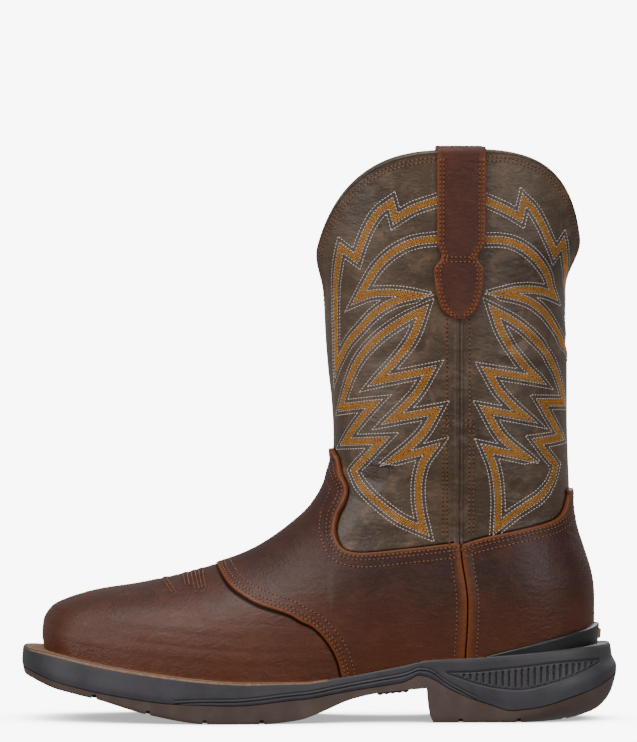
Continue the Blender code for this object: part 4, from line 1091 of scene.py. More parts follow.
def full_grain_leather(name, dark, middle, light, warm, grain, roughness, coat, edge_reach, clouding,
                       low_warmth=0.0):
    """Full grain cowhide, oiled and pulled: the pull lightens it in clouds and along its cut edges, and
    painted shade darkens it along the edges of the pieces over it.
    """
    material, tree, shader, where = new_finish(name)
    # Clouds of the hide, patches of the pull, and specks of wax, which are finer on the real hide and
    # wouldn't show
    clouds = noise(tree, where, 58.8, 3.0, 0.5)
    patches = noise(tree, where, 10.53, 6.0, 0.62, 0.4)
    specks = noise(tree, where, 1.111, 4.0, 0.65)
    colour = mix_colours(tree, ramp(tree, clouds, 0.34, 0.66), linear(dark), linear(middle))
    colour = mix_colours(tree, ramp(tree, patches, 0.46, 0.76, 0.0, clouding), colour, linear(light))
    colour = mix_colours(tree, ramp(tree, specks, 0.52, 0.80, 0.0, 0.45), colour, linear(light))
    colour = mix_colours(tree, ramp(tree, specks, 0.22, 0.46, 0.40, 0.0), colour, linear(dark))
    height = node(tree, "ShaderNodeSeparateXYZ", {"Vector": where}).outputs["Z"]
    colour = mix_colours(tree, ramp(tree, height, 0.030, 0.085, low_warmth, 0.0), colour, linear(warm))
    rubbed = ramp(tree, stored(tree, "edge_mm"), 0.2, edge_reach, 0.70, 0.0)
    colour = mix_colours(tree, rubbed, colour, linear(warm))
    # Painted shade: the leather turns near black along the edges of the pieces that lie over it
    cover = stored(tree, "cover_shade_mm")
    colour = mix_colours(tree, ramp(tree, cover, 0.4, 1.3, 0.92, 0.0), colour, linear("#0c0705"))
    tree.links.new(colour, shader.inputs["Base Color"])
    rough = ramp(tree, patches, 0.35, 0.75, roughness - 0.05, roughness + 0.10)
    tree.links.new(rough, shader.inputs["Roughness"])
    # Pores at about twice their real size, so that they show, their coarser grain, and flat wrinkles
    pores = node(tree, "ShaderNodeTexVoronoi", {"Vector": where, "Scale": repeats(grain)},
                 feature="SMOOTH_F1")
    fine = noise(tree, where, grain / 0.45, 6.0, 0.65)
    pulls = node(tree, "ShaderNodeMapping", {"Vector": where, "Scale": (1.0, 1.0, 2.2)})
    wrinkles = noise(tree, pulls.outputs[0], 7.69, 5.0, 0.55, 0.8)
    bump = bumped(tree, pores.outputs["Distance"], 0.25, 0.0005)
    bump = bumped(tree, fine, 0.35, 0.0008, bump)
    bump = bumped(tree, wrinkles, clouding * 0.5, 0.0030, bump)
    tree.links.new(bump, shader.inputs["Normal"])
    # The painted shade along covering edges also loses its specular shine, so that it stays dark
    tree.links.new(ramp(tree, cover, 0.4, 1.8, 0.02, 0.36), shader.inputs["Specular IOR Level"])
    shader.inputs["IOR"].default_value = 1.48
    shader.inputs["Coat Weight"].default_value = coat
    shader.inputs["Coat Roughness"].default_value = 0.34
    return material


def moulded_rubber(name, colour, second, roughness, grit):
    """Injection moulded rubber: even colour, fine spark-eroded texture and a faint bloom, with painted
    shade in the grooves where a piece stores their depth.
    """
    material, tree, shader, where = new_finish(name)
    bloom = noise(tree, where, 16.67, 4.0, 0.6)
    mottled = mix_colours(tree, ramp(tree, bloom, 0.35, 0.70), linear(colour), linear(second))
    # Painted shade: the rubber darkens to near black where its surface lies deep in a groove, a slot or the
    # rounded lower edge
    groove_shade = ramp(tree, stored(tree, "groove_mm"), 0.15, 0.60, 0.0, 0.85)
    mottled = mix_colours(tree, groove_shade, mottled, linear("#080707"))
    tree.links.new(mottled, shader.inputs["Base Color"])
    rough = ramp(tree, bloom, 0.3, 0.7, roughness - 0.05, roughness + 0.08)
    tree.links.new(rough, shader.inputs["Roughness"])
    # The real grit is about a tenth of a millimetre and wouldn't show, so it is drawn coarser
    grains = noise(tree, where, grit, 4.0, 0.7)
    tree.links.new(bumped(tree, grains, 0.30, 0.0003), shader.inputs["Normal"])
    shader.inputs["IOR"].default_value = 1.52
    return material


def thread(name, colour, second, sheen):
    """Twisted polyester thread, lightly waxed, its twist drawn at about twice its real size."""
    material, tree, shader, where = new_finish(name)
    twist = noise(tree, where, 1.111, 2.0, 0.5)
    mottled = mix_colours(tree, ramp(tree, twist, 0.35, 0.65), tuple(colour), linear(second))
    tree.links.new(mottled, shader.inputs["Base Color"])
    shader.inputs["Roughness"].default_value = 0.55
    shader.inputs["Sheen Weight"].default_value = sheen
    shader.inputs["IOR"].default_value = 1.5
    return material


def plain_finish(name, colour, second, roughness, spot, depth):
    """Quiet surface with a mottled colour and a fine bump."""
    material, tree, shader, where = new_finish(name)
    spots = noise(tree, where, spot, 4.0, 0.6)
    mottled = mix_colours(tree, ramp(tree, spots, 0.35, 0.65), linear(colour), linear(second))
    tree.links.new(mottled, shader.inputs["Base Color"])
    shader.inputs["Roughness"].default_value = roughness
    tree.links.new(bumped(tree, spots, 0.4, depth), shader.inputs["Normal"])
    return material


# Materials by their short names, filled by make_finishes. Sizes of patterns are in millimetres
FINISHES = {}


def make_finishes(colours):
    """All materials of the boot."""
    # Waxed cowhide of the shaft: grey brown and cloudy, with a soft shine on its raised grain
    FINISHES["shaft"] = full_grain_leather(
        "shaft_waxed_cowhide", "#35261b", "#4c3a2b", "#745c46", "#6b4f35", 0.6667, 0.42, 0.16, 0.6, 0.60)
    # Oiled cowhide of the foot: red brown, warmer low down, its edges rubbed to orange
    FINISHES["foot"] = full_grain_leather(
        "foot_oiled_cowhide", "#2a110a", "#3a180e", "#572a15", "#74390c", 0.7692, 0.46, 0.04, 2.8, 0.34,
        low_warmth=0.30)
    # The same hide thinner in the straps: duller, with wide rubbed edges
    FINISHES["strap"] = full_grain_leather(
        "strap_oiled_cowhide", "#37180f", "#472014", "#61321c", "#74380f", 0.7692, 0.50, 0.06, 4.6, 0.35)
    # Pigskin lining, woven footbed and split leather welt: matt, with a visible fibre
    FINISHES["lining"] = plain_finish("lining_pigskin", "#5a4636", "#6a5544", 0.75, 1.4286, 0.0003)
    FINISHES["footbed"] = plain_finish("footbed_textile", "#2b2a2a", "#393735", 0.85, 0.6667, 0.0004)
    FINISHES["welt"] = plain_finish("welt_split_leather", "#6b4f38", "#866548", 0.62, 2.0, 0.0004)
    # Moulded rubbers: dark grey midsole, brown tread, near black stabiliser with more gloss, tan tab
    FINISHES["midsole"] = moulded_rubber("midsole_moulded_rubber", "#29262b", "#353138", 0.52, 0.4545)
    FINISHES["outsole"] = moulded_rubber("outsole_moulded_rubber", "#46362f", "#54423a", 0.6, 0.5556)
    FINISHES["stabiliser"] = moulded_rubber("stabiliser_moulded_rubber", "#0f0d0d", "#151212", 0.40, 0.625)
    FINISHES["tab"] = moulded_rubber("tab_moulded_rubber", "#8a5a38", "#9c6a45", 0.5, 0.625)
    # Polyester threads, each in two shades for its twist, and the painted shade inside the needle holes
    FINISHES["gold_thread"] = thread("gold_polyester_thread", colours.gold_thread, "#e09a20", 0.0)
    FINISHES["pale_thread"] = thread("pale_polyester_thread", colours.pale_thread, "#dcd6d2", 0.1)
    FINISHES["brown_thread"] = thread("brown_polyester_thread", colours.brown_thread, "#885224", 0.0)
    FINISHES["holes"] = plain_finish("needle_hole_shade", "#060302", "#0a0504", 0.9, 2.5, 0.0001)


class BootSizes(bpy.types.PropertyGroup):
    """Sizes that a user would change."""

    collar_bead: bpy.props.FloatProperty(
        name="Collar bead", description="Radius of the rolled edge of the collar",
        default=0.0011, unit="LENGTH")
    pale_stitch: bpy.props.FloatProperty(
        name="Pale stitch pitch", description="Distance between the stitches beside the flames",
        default=0.0018, unit="LENGTH")
    brown_stitch: bpy.props.FloatProperty(
        name="Brown stitch pitch", description="Distance between the stitches of the seams",
        default=0.0023, unit="LENGTH")
    band_half_width: bpy.props.FloatProperty(
        name="Flame half width", description="Half the width of the gold bands",
        default=0.00145, unit="LENGTH")


class BootColours(bpy.types.PropertyGroup):
    """Colours that a user would change."""

    gold_thread: bpy.props.FloatVectorProperty(
        name="Gold thread", description="Colour of the flames' bands", subtype="COLOR", size=4,
        default=linear("#c0780c"))
    pale_thread: bpy.props.FloatVectorProperty(
        name="Pale thread", description="Colour of the rows beside the flames", subtype="COLOR", size=4,
        default=linear("#b7afab"))
    brown_thread: bpy.props.FloatVectorProperty(
        name="Brown thread", description="Colour of the rows along the seams", subtype="COLOR", size=4,
        default=linear("#6d401a"))
    floor: bpy.props.FloatVectorProperty(
        name="Floor", description="Colour of the studio floor", subtype="COLOR", size=4,
        default=linear("#ffffff"))


class BOOT_OT_finishes(bpy.types.Operator):
    """Makes the leathers, threads and rubbers"""

    bl_idname = "boot.finishes"
    bl_label = "Finishes"

    def execute(self, context):
        make_finishes(context.scene.boot_colours)
        return {"FINISHED"}


class BOOT_OT_shaft(bpy.types.Operator):
    """Makes the shaft, its rolled collar edge and its lining"""

    bl_idname = "boot.shaft"
    bl_label = "Shaft"

    def execute(self, context):
        rows = np.concatenate((np.linspace(8.0, 14.0, 60)[:-1], np.linspace(14.0, LAST_ROW, 110)))
        turns = np.linspace(-math.pi, math.pi, 421)
        row, turn = np.meshgrid(rows, turns, indexing="ij")
        base = boot_point(row, turn)
        points = base + boot_normal(row, turn) * relief(base)[..., None]
        mesh = skin("shaft", points, wrap_columns=True)
        shade_under(mesh, (SADDLE_TOP, COUNTER_TOP))
        new_piece("shaft", mesh, FINISHES["shaft"], ("upper",))
        rows = np.linspace(0.0, LAST_ROW, 120)
        turns = np.linspace(-math.pi, math.pi, 241)
        row, turn = np.meshgrid(rows, turns, indexing="ij")
        inner = boot_point(row, turn) - boot_normal(row, turn) * WALL
        new_piece("lining", skin("lining", inner, wrap_columns=True, flip=True), FINISHES["lining"])
        bead = context.scene.boot_sizes.collar_bead
        new_piece("collar_edge", collar_bead(bead), FINISHES["shaft"])
        return {"FINISHED"}


def collar_bead(radius):
    """Rolled edge along the collar."""
    turns = np.linspace(-math.pi, math.pi, 481)
    rim = boot_point(LAST_ROW + 0.0 * turns, turns)
    normal = boot_normal(LAST_ROW - 0.04 + 0.0 * turns, turns)
    tangent = unit(np.roll(rim[:-1], -1, axis=0) - np.roll(rim[:-1], 1, axis=0))
    tangent = np.concatenate((tangent, tangent[:1]))
    up = unit(np.cross(tangent, normal))
    up = up * np.sign(up[:, 2:3])
    middle = rim - normal * (0.5 * WALL)
    rings = []
    for angle in np.linspace(0.0, 2.0 * math.pi, 13):
        out = radius * 1.18 * math.cos(angle)
        rings.append(middle + normal * out + up * radius * math.sin(angle))
    return skin("collar_edge", np.stack(rings), wrap_rows=True, wrap_columns=True)


class BOOT_OT_foot(bpy.types.Operator):
    """Makes the toe vamp, the saddle and the counter"""

    bl_idname = "boot.foot"
    bl_label = "Foot"

    def execute(self, context):
        under = side_line(SADDLE_FRONT, shift=0.004)
        edge = on_boot(under)
        ridge = (meets_silhouette(under, 0.0), 0.0)
        outline = closed_outline(ridge, mirrored(edge), (BOTTOM_ROW, -edge[-1, 1]),
                                 (BOTTOM_ROW, edge[-1, 1]), edge[::-1])
        make_panel("toe_vamp_leather", outline, VAMP_FACE, FINISHES["foot"], ("toe_vamp",),
                   folds=TOE_FOLDS, under=(SADDLE_FRONT,))
        front_line = side_line(SADDLE_FRONT)
        top_line = side_line(SADDLE_TOP)
        front = on_boot(front_line)
        top = on_boot(top_line)
        seam = on_boot(side_line(LOWER_SEAM, shift=-0.0002))[1:]
        front_ridge = (meets_silhouette(front_line, 0.0), 0.0)
        top_ridge = (meets_silhouette(top_line, 0.0), 0.0)
        outline = closed_outline(
            front_ridge, mirrored(front), (BOTTOM_ROW, -front[-1, 1]), (BOTTOM_ROW, -seam[-1, 1]),
            mirrored(seam[::-1]), mirrored(top[::-1]), top_ridge, top, seam, (BOTTOM_ROW, seam[-1, 1]),
            (BOTTOM_ROW, front[-1, 1]), front[::-1])
        make_panel("saddle_leather", outline, SADDLE_FACE, FINISHES["foot"], ("saddle",))
        seam = on_boot(side_line(LOWER_SEAM, shift=0.0002))[1:]
        top_line = side_line(COUNTER_TOP)
        top = on_boot(top_line)
        back = (meets_silhouette(top_line, math.pi), math.pi)
        outline = closed_outline(
            (BOTTOM_ROW, seam[-1, 1]), seam[::-1], top, back, past_back(top[::-1]), past_back(seam),
            (BOTTOM_ROW, 2.0 * math.pi - seam[-1, 1]))
        make_panel("counter_leather", outline, COUNTER_FACE, FINISHES["foot"], ("counter",))
        return {"FINISHED"}


# Heel stabiliser: height of its face, height where its edge ends on the counter's leather, width of
# its rounding, steps in rows and in turns
STABILISER_FACE = 0.0049
STABILISER_LOW = 0.0020
STABILISER_EDGE = 0.0009
STABILISER_STEPS = (0.05, 0.006)

# Plain tab on it: half width, height of its edge and rise of its middle
TAB_HALF_WIDTH = 0.0060
TAB_FACE = 0.0050
TAB_RISE = 0.0011


class BOOT_OT_stabiliser(bpy.types.Operator):
    """Makes the rubber wedge round the heel and its plain tab"""

    bl_idname = "boot.stabiliser"
    bl_label = "Stabiliser"

    def execute(self, context):
        line = side_line(STABILISER_TOP)
        top = on_boot(line)
        back = (meets_silhouette(line, math.pi), math.pi)
        outline = closed_outline((BOTTOM_ROW, top[0, 1]), top, back, past_back(top[::-1]),
                                 (BOTTOM_ROW, 2.0 * math.pi - top[0, 1]))
        make_panel("stabiliser", outline, STABILISER_FACE, FINISHES["stabiliser"],
                   ("heel_stabiliser",), low=STABILISER_LOW, edge=STABILISER_EDGE, steps=STABILISER_STEPS)
        low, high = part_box("heel_tab")
        turns = np.linspace(-0.17, 0.17, 23) + math.pi
        low_rows = np.linspace(0, 4, 81)
        heights = boot_point(low_rows, math.pi)[:, 2]
        rows = np.interp(np.linspace(low[2], high[2], 13), heights, low_rows)
        row, turn = np.meshgrid(rows, turns, indexing="ij")
        base = boot_point(row, turn)
        base[..., 1] *= TAB_HALF_WIDTH / np.abs(base[..., 1]).max()
        normal = boot_normal(row, turn)
        across = np.abs(base[..., 1]) / TAB_HALF_WIDTH
        upward = np.abs(base[..., 2] - 0.5 * (low[2] + high[2])) / (0.5 * (high[2] - low[2]))
        rise = np.maximum(1.0 - np.maximum(across, upward) ** 12, 0.0) ** 0.25
        points = base + normal * (TAB_FACE + TAB_RISE * rise)[..., None]
        new_piece("plain_tab", skin("plain_tab", points), FINISHES["tab"], ("heel_tab",))
        return {"FINISHED"}


# Width over which a strap's edges round off
STRAP_EDGE = 0.0009


def strap_rings(side):
    """Sections of a pull strap from its tip outside, over the collar, to its end inside."""
    outside = CLEAR + 0.5 * STRAP_THICKNESS
    inside = -WALL - CLEAR - 0.5 * STRAP_THICKNESS
    axis = 0.5 * (outside + inside)
    radius = 0.5 * (outside - inside)
    top = float(upper_point(LAST_ROW, 0.5, -1.0)[2])
    # Each station: drop under the collar, turn over it, width, shift
    stations = []
    for p in np.concatenate((1.0 - 0.08 * np.linspace(0.0, 1.0, 12) ** 1.5, np.linspace(0.91, 0.0, 80))):
        width = STRAP_WIDTH * float(through(STRAP_SHAPE, 1, p))
        shift = STRAP_WIDTH * float(through(STRAP_SHAPE, 2, p))
        stations.append((p * STRAP_OUTSIDE, 0.0, width, shift))
    for turn in np.linspace(0.0, math.pi, 14)[1:]:
        stations.append((0.0, turn, STRAP_WIDTH, 0.0))
    for p in np.linspace(0.0, 1.0, 16)[1:]:
        stations.append((p * STRAP_INSIDE, math.pi, STRAP_WIDTH, 0.0))
    across = np.concatenate((-0.5 + 0.03 * np.linspace(0, 1, 5), np.linspace(-0.44, 0.44, 21),
                             0.5 - 0.03 * np.linspace(1, 0, 5)))
    rings = []
    lift = np.array((0.0, 0.0, STRAP_REACH))
    x = np.array([HEEL_BACK - STRAP_PLACE + shift + across * width for _, _, width, shift in stations])
    z = np.array([top - STRAP_REACH - drop + 0.0 * across for drop, _, _, _ in stations])
    for (_, turn, width, _), here, normal in zip(stations, *grid_on_boot(x, z, side)):
        if turn == 0.0:
            here = here + normal * relief(here)[:, None]
        up = np.array((0.0, 0.0, math.sin(turn)))
        centre = here + lift + normal * (axis + radius * math.cos(turn)) + radius * up
        edge = np.clip(1.0 - (0.5 - np.abs(across)) * width / STRAP_EDGE, 0.0, 1.0)
        half = 0.5 * STRAP_THICKNESS * np.sqrt(1.0 - 0.92 * edge**2)
        face = half[:, None] * (normal * math.cos(turn) + up)
        rings.append(np.concatenate((centre + face, (centre - face)[::-1], (centre + face)[:1])))
    return np.array(rings)


class BOOT_OT_straps(bpy.types.Operator):
    """Makes the two pull straps"""

    bl_idname = "boot.straps"
    bl_label = "Straps"

    def execute(self, context):
        for side, name in ((-1.0, "lateral"), (1.0, "medial")):
            rings = strap_rings(side)
            mesh = skin("strap_" + name, rings, wrap_columns=True, flip=side > 0.0)
            close_ends(mesh)
            flat = places_of(mesh)[:, (0, 2)]
            to_sides = [to_polyline(flat, line)[1] for line in strap_rows(0.0)[:2]]
            mark(mesh, "edge_mm", 1000.0 * np.minimum(*to_sides))
            new_piece("strap_" + name, mesh, FINISHES["strap"], ("pull_strap_" + name,))
        return {"FINISHED"}


# Side seam of the shaft: across and height in millimetres, with the seam's furrow at 0. Then its
# shift from the solid's middle, and how far it runs past the solid's ends
SEAM_PROFILE = (
    (-3.2, -0.15), (-2.7, 0.35), (-1.9, 0.55), (-1.0, 0.62), (-0.45, 0.50), (-0.2, 0.05), (0.0, -0.35),
    (0.2, 0.0), (0.45, 0.42), (1.0, 0.60), (1.6, 0.45), (2.0, -0.15),
)
SEAM_SHIFT = -0.0008
SEAM_OVERLAP = 0.004


class BOOT_OT_side_seams(bpy.types.Operator):
    """Makes the piped side seams of the shaft"""

    bl_idname = "boot.side_seams"
    bl_label = "Side seams"

    def execute(self, context):
        for side, name in ((-1.0, "lateral"), (1.0, "medial")):
            low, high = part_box("side_seam_" + name)
            middle = 0.5 * (low[0] + high[0]) + SEAM_SHIFT
            heights = np.linspace(low[2] - SEAM_OVERLAP, high[2] + SEAM_OVERLAP, 120)
            across, up = np.array(SEAM_PROFILE).T * 0.001
            x, z = np.meshgrid(middle + across, heights)
            base, normal = grid_on_boot(x, z, side)
            points = base + normal * (up[None, :] + relief(base))[..., None]
            new_piece("seam_piping_" + name, skin("seam_piping_" + name, points, flip=side < 0.0),
                      FINISHES["shaft"], ("side_seam_" + name,))
        return {"FINISHED"}


def row_at_height(height, turn):
    """Rows of the shaft at heights, not past the collar."""
    low = 8.0 + 0.0 * height
    high = LAST_ROW + 0.0 * height
    for _ in range(22):
        middle = 0.5 * (low + high)
        above = boot_point(middle, turn)[..., 2] > height
        high = np.where(above, middle, high)
        low = np.where(above, low, middle)
    return 0.5 * (low + high)


def shaft_arcs():
    """Distances round the shaft from the middle of its side, for levels of height and turns."""
    levels = np.linspace(0.085, 0.290, 83)
    turns = np.linspace(0.0, math.pi, 361)
    height, turn = np.meshgrid(levels, turns, indexing="ij")
    points = boot_point(row_at_height(height, turn), turn)
    steps = np.linalg.norm(np.diff(points[..., :2], axis=1), axis=-1)
    arcs = np.concatenate((np.zeros((len(levels), 1)), np.cumsum(steps, axis=1)), axis=1)
    for i in range(len(levels)):
        arcs[i] -= np.interp(FLAME_MIDDLE, points[i, :, 0], arcs[i])
    return levels, turns, arcs


def between_levels(levels, height, values):
    """Values of the levels above and below each height, mixed."""
    at = np.clip((height - levels[0]) / (levels[1] - levels[0]), 0.0, len(levels) - 1.001)
    low = at.astype(int)
    mixed = []
    for k, (i, mix) in enumerate(zip(low, at - low)):
        mixed.append(values(i, k) * (1.0 - mix) + values(i + 1, k) * mix)
    return np.array(mixed)


def flatten(points):
    """Side view points as distances round the shaft and heights."""
    levels, turns, arcs = ARCS
    _, turn, _ = find_on_boot(points[:, 0], points[:, 1])
    around = between_levels(levels, points[:, 1], lambda i, k: np.interp(turn[k], turns, arcs[i]))
    return np.stack((around, points[:, 1]), axis=-1)


# Turns beside the front and back lines where no flame is sewn
RIDGE_TURN = 0.03


def wrap_round(flat):
    """Rows and turns of distances round the shaft and heights, and which of them lie on it."""
    levels, turns, arcs = ARCS
    turn = between_levels(levels, flat[:, 1], lambda i, k: np.interp(flat[k, 0], arcs[i], turns))
    row = row_at_height(flat[:, 1], turn)
    missed = np.abs(boot_point(row, turn)[:, 2] - flat[:, 1])
    on_shaft = (turn > RIDGE_TURN) & (turn < math.pi - RIDGE_TURN) & (missed < 0.0001)
    return row, turn, on_shaft


ARCS = shaft_arcs()


# Bend of a flame line, in degrees, past which it has a corner
FLAME_CORNER = 42.0


def flame_pieces(points):
    """Smooth stretches between the sharp corners of a flame line, laid flat."""
    points = flatten(np.array(points) * 0.001 + (FLAME_MIDDLE, 0.0))
    steps = unit(np.diff(points, axis=0))
    bend = np.degrees(np.arccos(np.clip(np.sum(steps[1:] * steps[:-1], axis=1), -1.0, 1.0)))
    corners = [0] + [i + 1 for i, b in enumerate(bend) if b > FLAME_CORNER] + [len(points) - 1]
    pieces = []
    for a, b in zip(corners, corners[1:]):
        pieces.append(even_steps(smooth_line(points[a:b + 1], 16), 0.0005, 4))
    return pieces, bool(np.allclose(points[0], points[-1]))


def crossing(first, second):
    """Last crossing of one line with the start of another: segment, share and point of each."""
    a = first[:-1]
    b = first[1:] - a
    c = second[:-1]
    d = second[1:] - c
    area = b[:, None, 0] * d[None, :, 1] - b[:, None, 1] * d[None, :, 0]
    gap = c[None, :, :] - a[:, None, :]
    area = np.where(np.abs(area) < 1e-15, 1e-15, area)
    s = (gap[..., 0] * d[None, :, 1] - gap[..., 1] * d[None, :, 0]) / area
    t = (gap[..., 0] * b[:, None, 1] - gap[..., 1] * b[:, None, 0]) / area
    hit = (s >= 0.0) & (s <= 1.0) & (t >= 0.0) & (t <= 1.0)
    if not hit.any():
        return None
    i, j = np.nonzero(hit)
    k = np.argmin(j - i)
    i, j = i[k], j[k]
    return i, j, a[i] + b[i] * s[i, j]


# How far a flame's slender tip runs past its corner, as a share of the line's distance from the middle
TIP_REACH = 2.2


def beside(pieces, closed, distance, reach=0.016):
    """Lines beside a flame line, with pointed corners."""
    moved = []
    for line in pieces:
        tangent = unit(np.gradient(line, axis=0))
        line = line + distance * np.stack((-tangent[:, 1], tangent[:, 0]), axis=-1)
        before = line[0] - tangent[0] * reach
        after = line[-1] + tangent[-1] * reach
        moved.append(np.concatenate((before[None], line, after[None])))
    starts = [1] * len(moved)
    ends = [len(line) - 1 for line in moved]
    first_points = [None] * len(moved)
    last_points = [None] * len(moved)
    pairs = [(i, i + 1) for i in range(len(moved) - 1)]
    if closed:
        pairs.append((len(moved) - 1, 0))
    for i, j in pairs:
        found = crossing(moved[i], moved[j])
        if found is not None:
            ends[i] = found[0] + 1
            starts[j] = found[1] + 1
            last_points[i] = found[2]
            first_points[j] = found[2]
        else:
            ahead = unit(moved[i][-2] - moved[i][-3])
            tip = 0.5 * (moved[i][-2] + moved[j][1]) + ahead * TIP_REACH * abs(distance)
            last_points[i] = tip
            first_points[j] = tip
    lines = []
    for k, line in enumerate(moved):
        part = line[starts[k]:ends[k]]
        if first_points[k] is not None:
            part = np.concatenate((first_points[k][None], part))
        if last_points[k] is not None:
            part = np.concatenate((part, last_points[k][None]))
        if len(part) > 1:
            lines.append(part)
    return lines


# Gold rows of a flame: place across as a share of the half width, and the way that the thread
# slants. Then the distance between stitches and the slant in radians
GOLD_ROWS = ((-0.75, 1.0), (-0.25, -1.0), (0.25, 1.0), (0.75, -1.0))
GOLD_PITCH = 0.00092
GOLD_SLANT = 0.75

# Pale rows of a flame: distances from its middle
PALE_ROWS = (-0.0038, -0.0019, 0.0019, 0.0038)

# Height of the flames' thread over the leather, then length, width and height of each kind of stitch
THREAD_LIFT = 0.00012
GOLD_STITCH = (0.00122, 0.00050, 0.00050)
PALE_STITCH = (0.00142, 0.00046, 0.00048)
BROWN_STITCH = (0.0017, 0.00064, 0.00060)
NEEDLE_HOLE = (0.00092, 0.00096, 0.00024)


class BOOT_OT_flames(bpy.types.Operator):
    """Sews the flame pattern of the shaft: gold bands between double rows of pale stitches"""

    bl_idname = "boot.flames"
    bl_label = "Flames"

    def execute(self, context):
        sizes = context.scene.boot_sizes
        gold = {1.0: [], -1.0: []}
        pale = []
        for points in FLAMES.values():
            pieces, closed = flame_pieces(points)
            for off, slant in GOLD_ROWS:
                gold[slant] += beside(pieces, closed, off * sizes.band_half_width * 1.02)
            for off in PALE_ROWS:
                pale += beside(pieces, closed, off)
        for side, name in ((-1.0, "lateral"), (1.0, "medial")):
            halves = [sew(gold[slant], THREAD_LIFT, GOLD_PITCH, (side,), wrap_round)
                      for slant in (1.0, -1.0)]
            spin = np.concatenate([np.full(len(half[0]), GOLD_SLANT * side * sign)
                                   for half, sign in zip(halves, (1.0, -1.0))])
            scatter("gold_stitches_" + name, joined(halves), GOLD_STITCH, FINISHES["gold_thread"],
                    segments=(4, 2), spin=spin)
            frames = sew(pale, THREAD_LIFT, sizes.pale_stitch, (side,), wrap_round)
            scatter("pale_stitches_" + name, frames, PALE_STITCH, FINISHES["pale_thread"],
                    segments=(4, 3), sink=0.00006)
        return {"FINISHED"}


def below_collar(distance):
    """Rows and turns of a line at a distance under the collar."""
    turns = np.linspace(-math.pi + 0.004, math.pi - 0.004, 1600)
    rim = boot_point(LAST_ROW + 0.0 * turns, turns)
    down = (rim - boot_point(LAST_ROW - 0.05 + 0.0 * turns, turns)) / 0.05
    tangent = unit(np.gradient(rim, axis=0))
    per_row = np.linalg.norm(np.cross(down, tangent), axis=1)
    return np.stack((LAST_ROW - distance / np.maximum(per_row, 0.006), turns), axis=-1)


# Brown rows: distances in from the edges of the saddle's front and top, the counter, the straps and
# the collar, and from the lower side seam
FRONT_INSETS = (0.0021, 0.0039, 0.0072)
TOP_INSETS = (-0.0021, -0.0039, -0.0076)
COUNTER_INSETS = (-0.0020, -0.0037, -0.0066)
STRAP_INSETS = (0.0016, 0.0034)
COLLAR_INSETS = (0.0026, 0.0045)
SEAM_INSET = 0.0058

# Stitches of the toe: their pitch, their distance from a fold, rows and turns of the two front lines
TOE_PITCH = 0.0017
FOLD_INSET = 0.0011
TOE_LINE_ROWS = (4.6, 6.4)
TOE_LINE_TURN = 0.045


class BOOT_OT_stitching(bpy.types.Operator):
    """Sews the brown rows along the edges of the foot, the collar, the straps and the seams"""

    bl_idname = "boot.stitching"
    bl_label = "Stitching"

    def execute(self, context):
        pitch = context.scene.boot_sizes.brown_stitch
        front = [side_line(SADDLE_FRONT, inset=inset) for inset in FRONT_INSETS]
        top = [side_line(SADDLE_TOP, inset=inset) for inset in TOP_INSETS]
        heel = [side_line(COUNTER_TOP, inset=inset) for inset in COUNTER_INSETS]
        shaft = [np.array(line) * 0.001 for line in SEAM_ROWS]
        rows = [
            sew(front + top + [side_line(LOWER_SEAM, shift=-SEAM_INSET)], SADDLE_FACE, pitch),
            sew(heel + [side_line(LOWER_SEAM, shift=SEAM_INSET)], COUNTER_FACE, pitch),
            sew(shaft, 0.0001, pitch),
            sew(strap_rows(*STRAP_INSETS), CLEAR + STRAP_THICKNESS, pitch),
        ]
        folds = []
        for line, _, _ in TOE_FOLDS:
            for off in (-FOLD_INSET, FOLD_INSET):
                folds.append(np.array(line) * 0.001 + (off, 0.0))
        rows.append(sew(folds, VAMP_FACE + 0.0001, TOE_PITCH))
        ridge_row = np.linspace(*TOE_LINE_ROWS, 200)
        for turn in (-TOE_LINE_TURN, TOE_LINE_TURN):
            ridge_turn = turn + 0.0 * ridge_row
            ridge = boot_point(ridge_row, ridge_turn)
            rows.append(frames_at([spaced(ridge_row, ridge_turn, ridge, TOE_PITCH)], VAMP_FACE))
        for distance in COLLAR_INSETS:
            row, turn = below_collar(distance).T
            rows.append(frames_at([spaced(row, turn, boot_point(row, turn), pitch)], 0.0))
        frames = joined(rows)
        scatter("brown_stitches", frames, BROWN_STITCH, FINISHES["brown_thread"],
                segments=(5, 4), sink=0.00014)
        middle, tangent, normal = frames
        # Near-black discs between the stitches are painted shade for the inside of the needle holes
        holes = (middle + tangent * (0.5 * pitch) + normal * 0.00002, tangent, normal)
        scatter("needle_hole_shade", holes, NEEDLE_HOLE, FINISHES["holes"], segments=(6, 2))
        return {"FINISHED"}


# Rows beside the shaft's side seam and bars across it: X and Z of both ends, in millimetres
SEAM_ROWS = (
    ((-29.0, 98.0), (-29.0, 213.0)),
    ((-17.1, 98.0), (-17.1, 213.0)),
    ((-31.0, 98.0), (-31.0, 157.0)),
    ((-14.9, 98.0), (-14.9, 157.0)),
    ((-31.6, 157.0), (-14.6, 157.0)),
    ((-31.6, 159.4), (-14.6, 159.4)),
)

# Bars of stitches across a strap: X of both ends and Z
STRAP_BARS = (
    (-0.0324, -0.0134, 0.2430),
    (-0.0324, -0.0134, 0.2454),
)


def strap_rows(*insets):
    """Side view lines along the edges of a strap, at each inset, then across it."""
    top = float(upper_point(LAST_ROW, 0.5, -1.0)[2])
    middle = HEEL_BACK - STRAP_PLACE
    lines = []
    for inset in insets:
        for edge in (-1.0, 1.0):
            line = []
            for p in np.linspace(0.03, 0.985, 60):
                half = max(0.5 * STRAP_WIDTH * float(through(STRAP_SHAPE, 1, p)) - inset, 0.0)
                shift = STRAP_WIDTH * float(through(STRAP_SHAPE, 2, p))
                line.append((middle + shift + edge * half, top - p * STRAP_OUTSIDE))
            lines.append(np.array(line))
    for start, end, z in STRAP_BARS:
        lines.append(np.array(((start, z), (end, z))))
    return lines


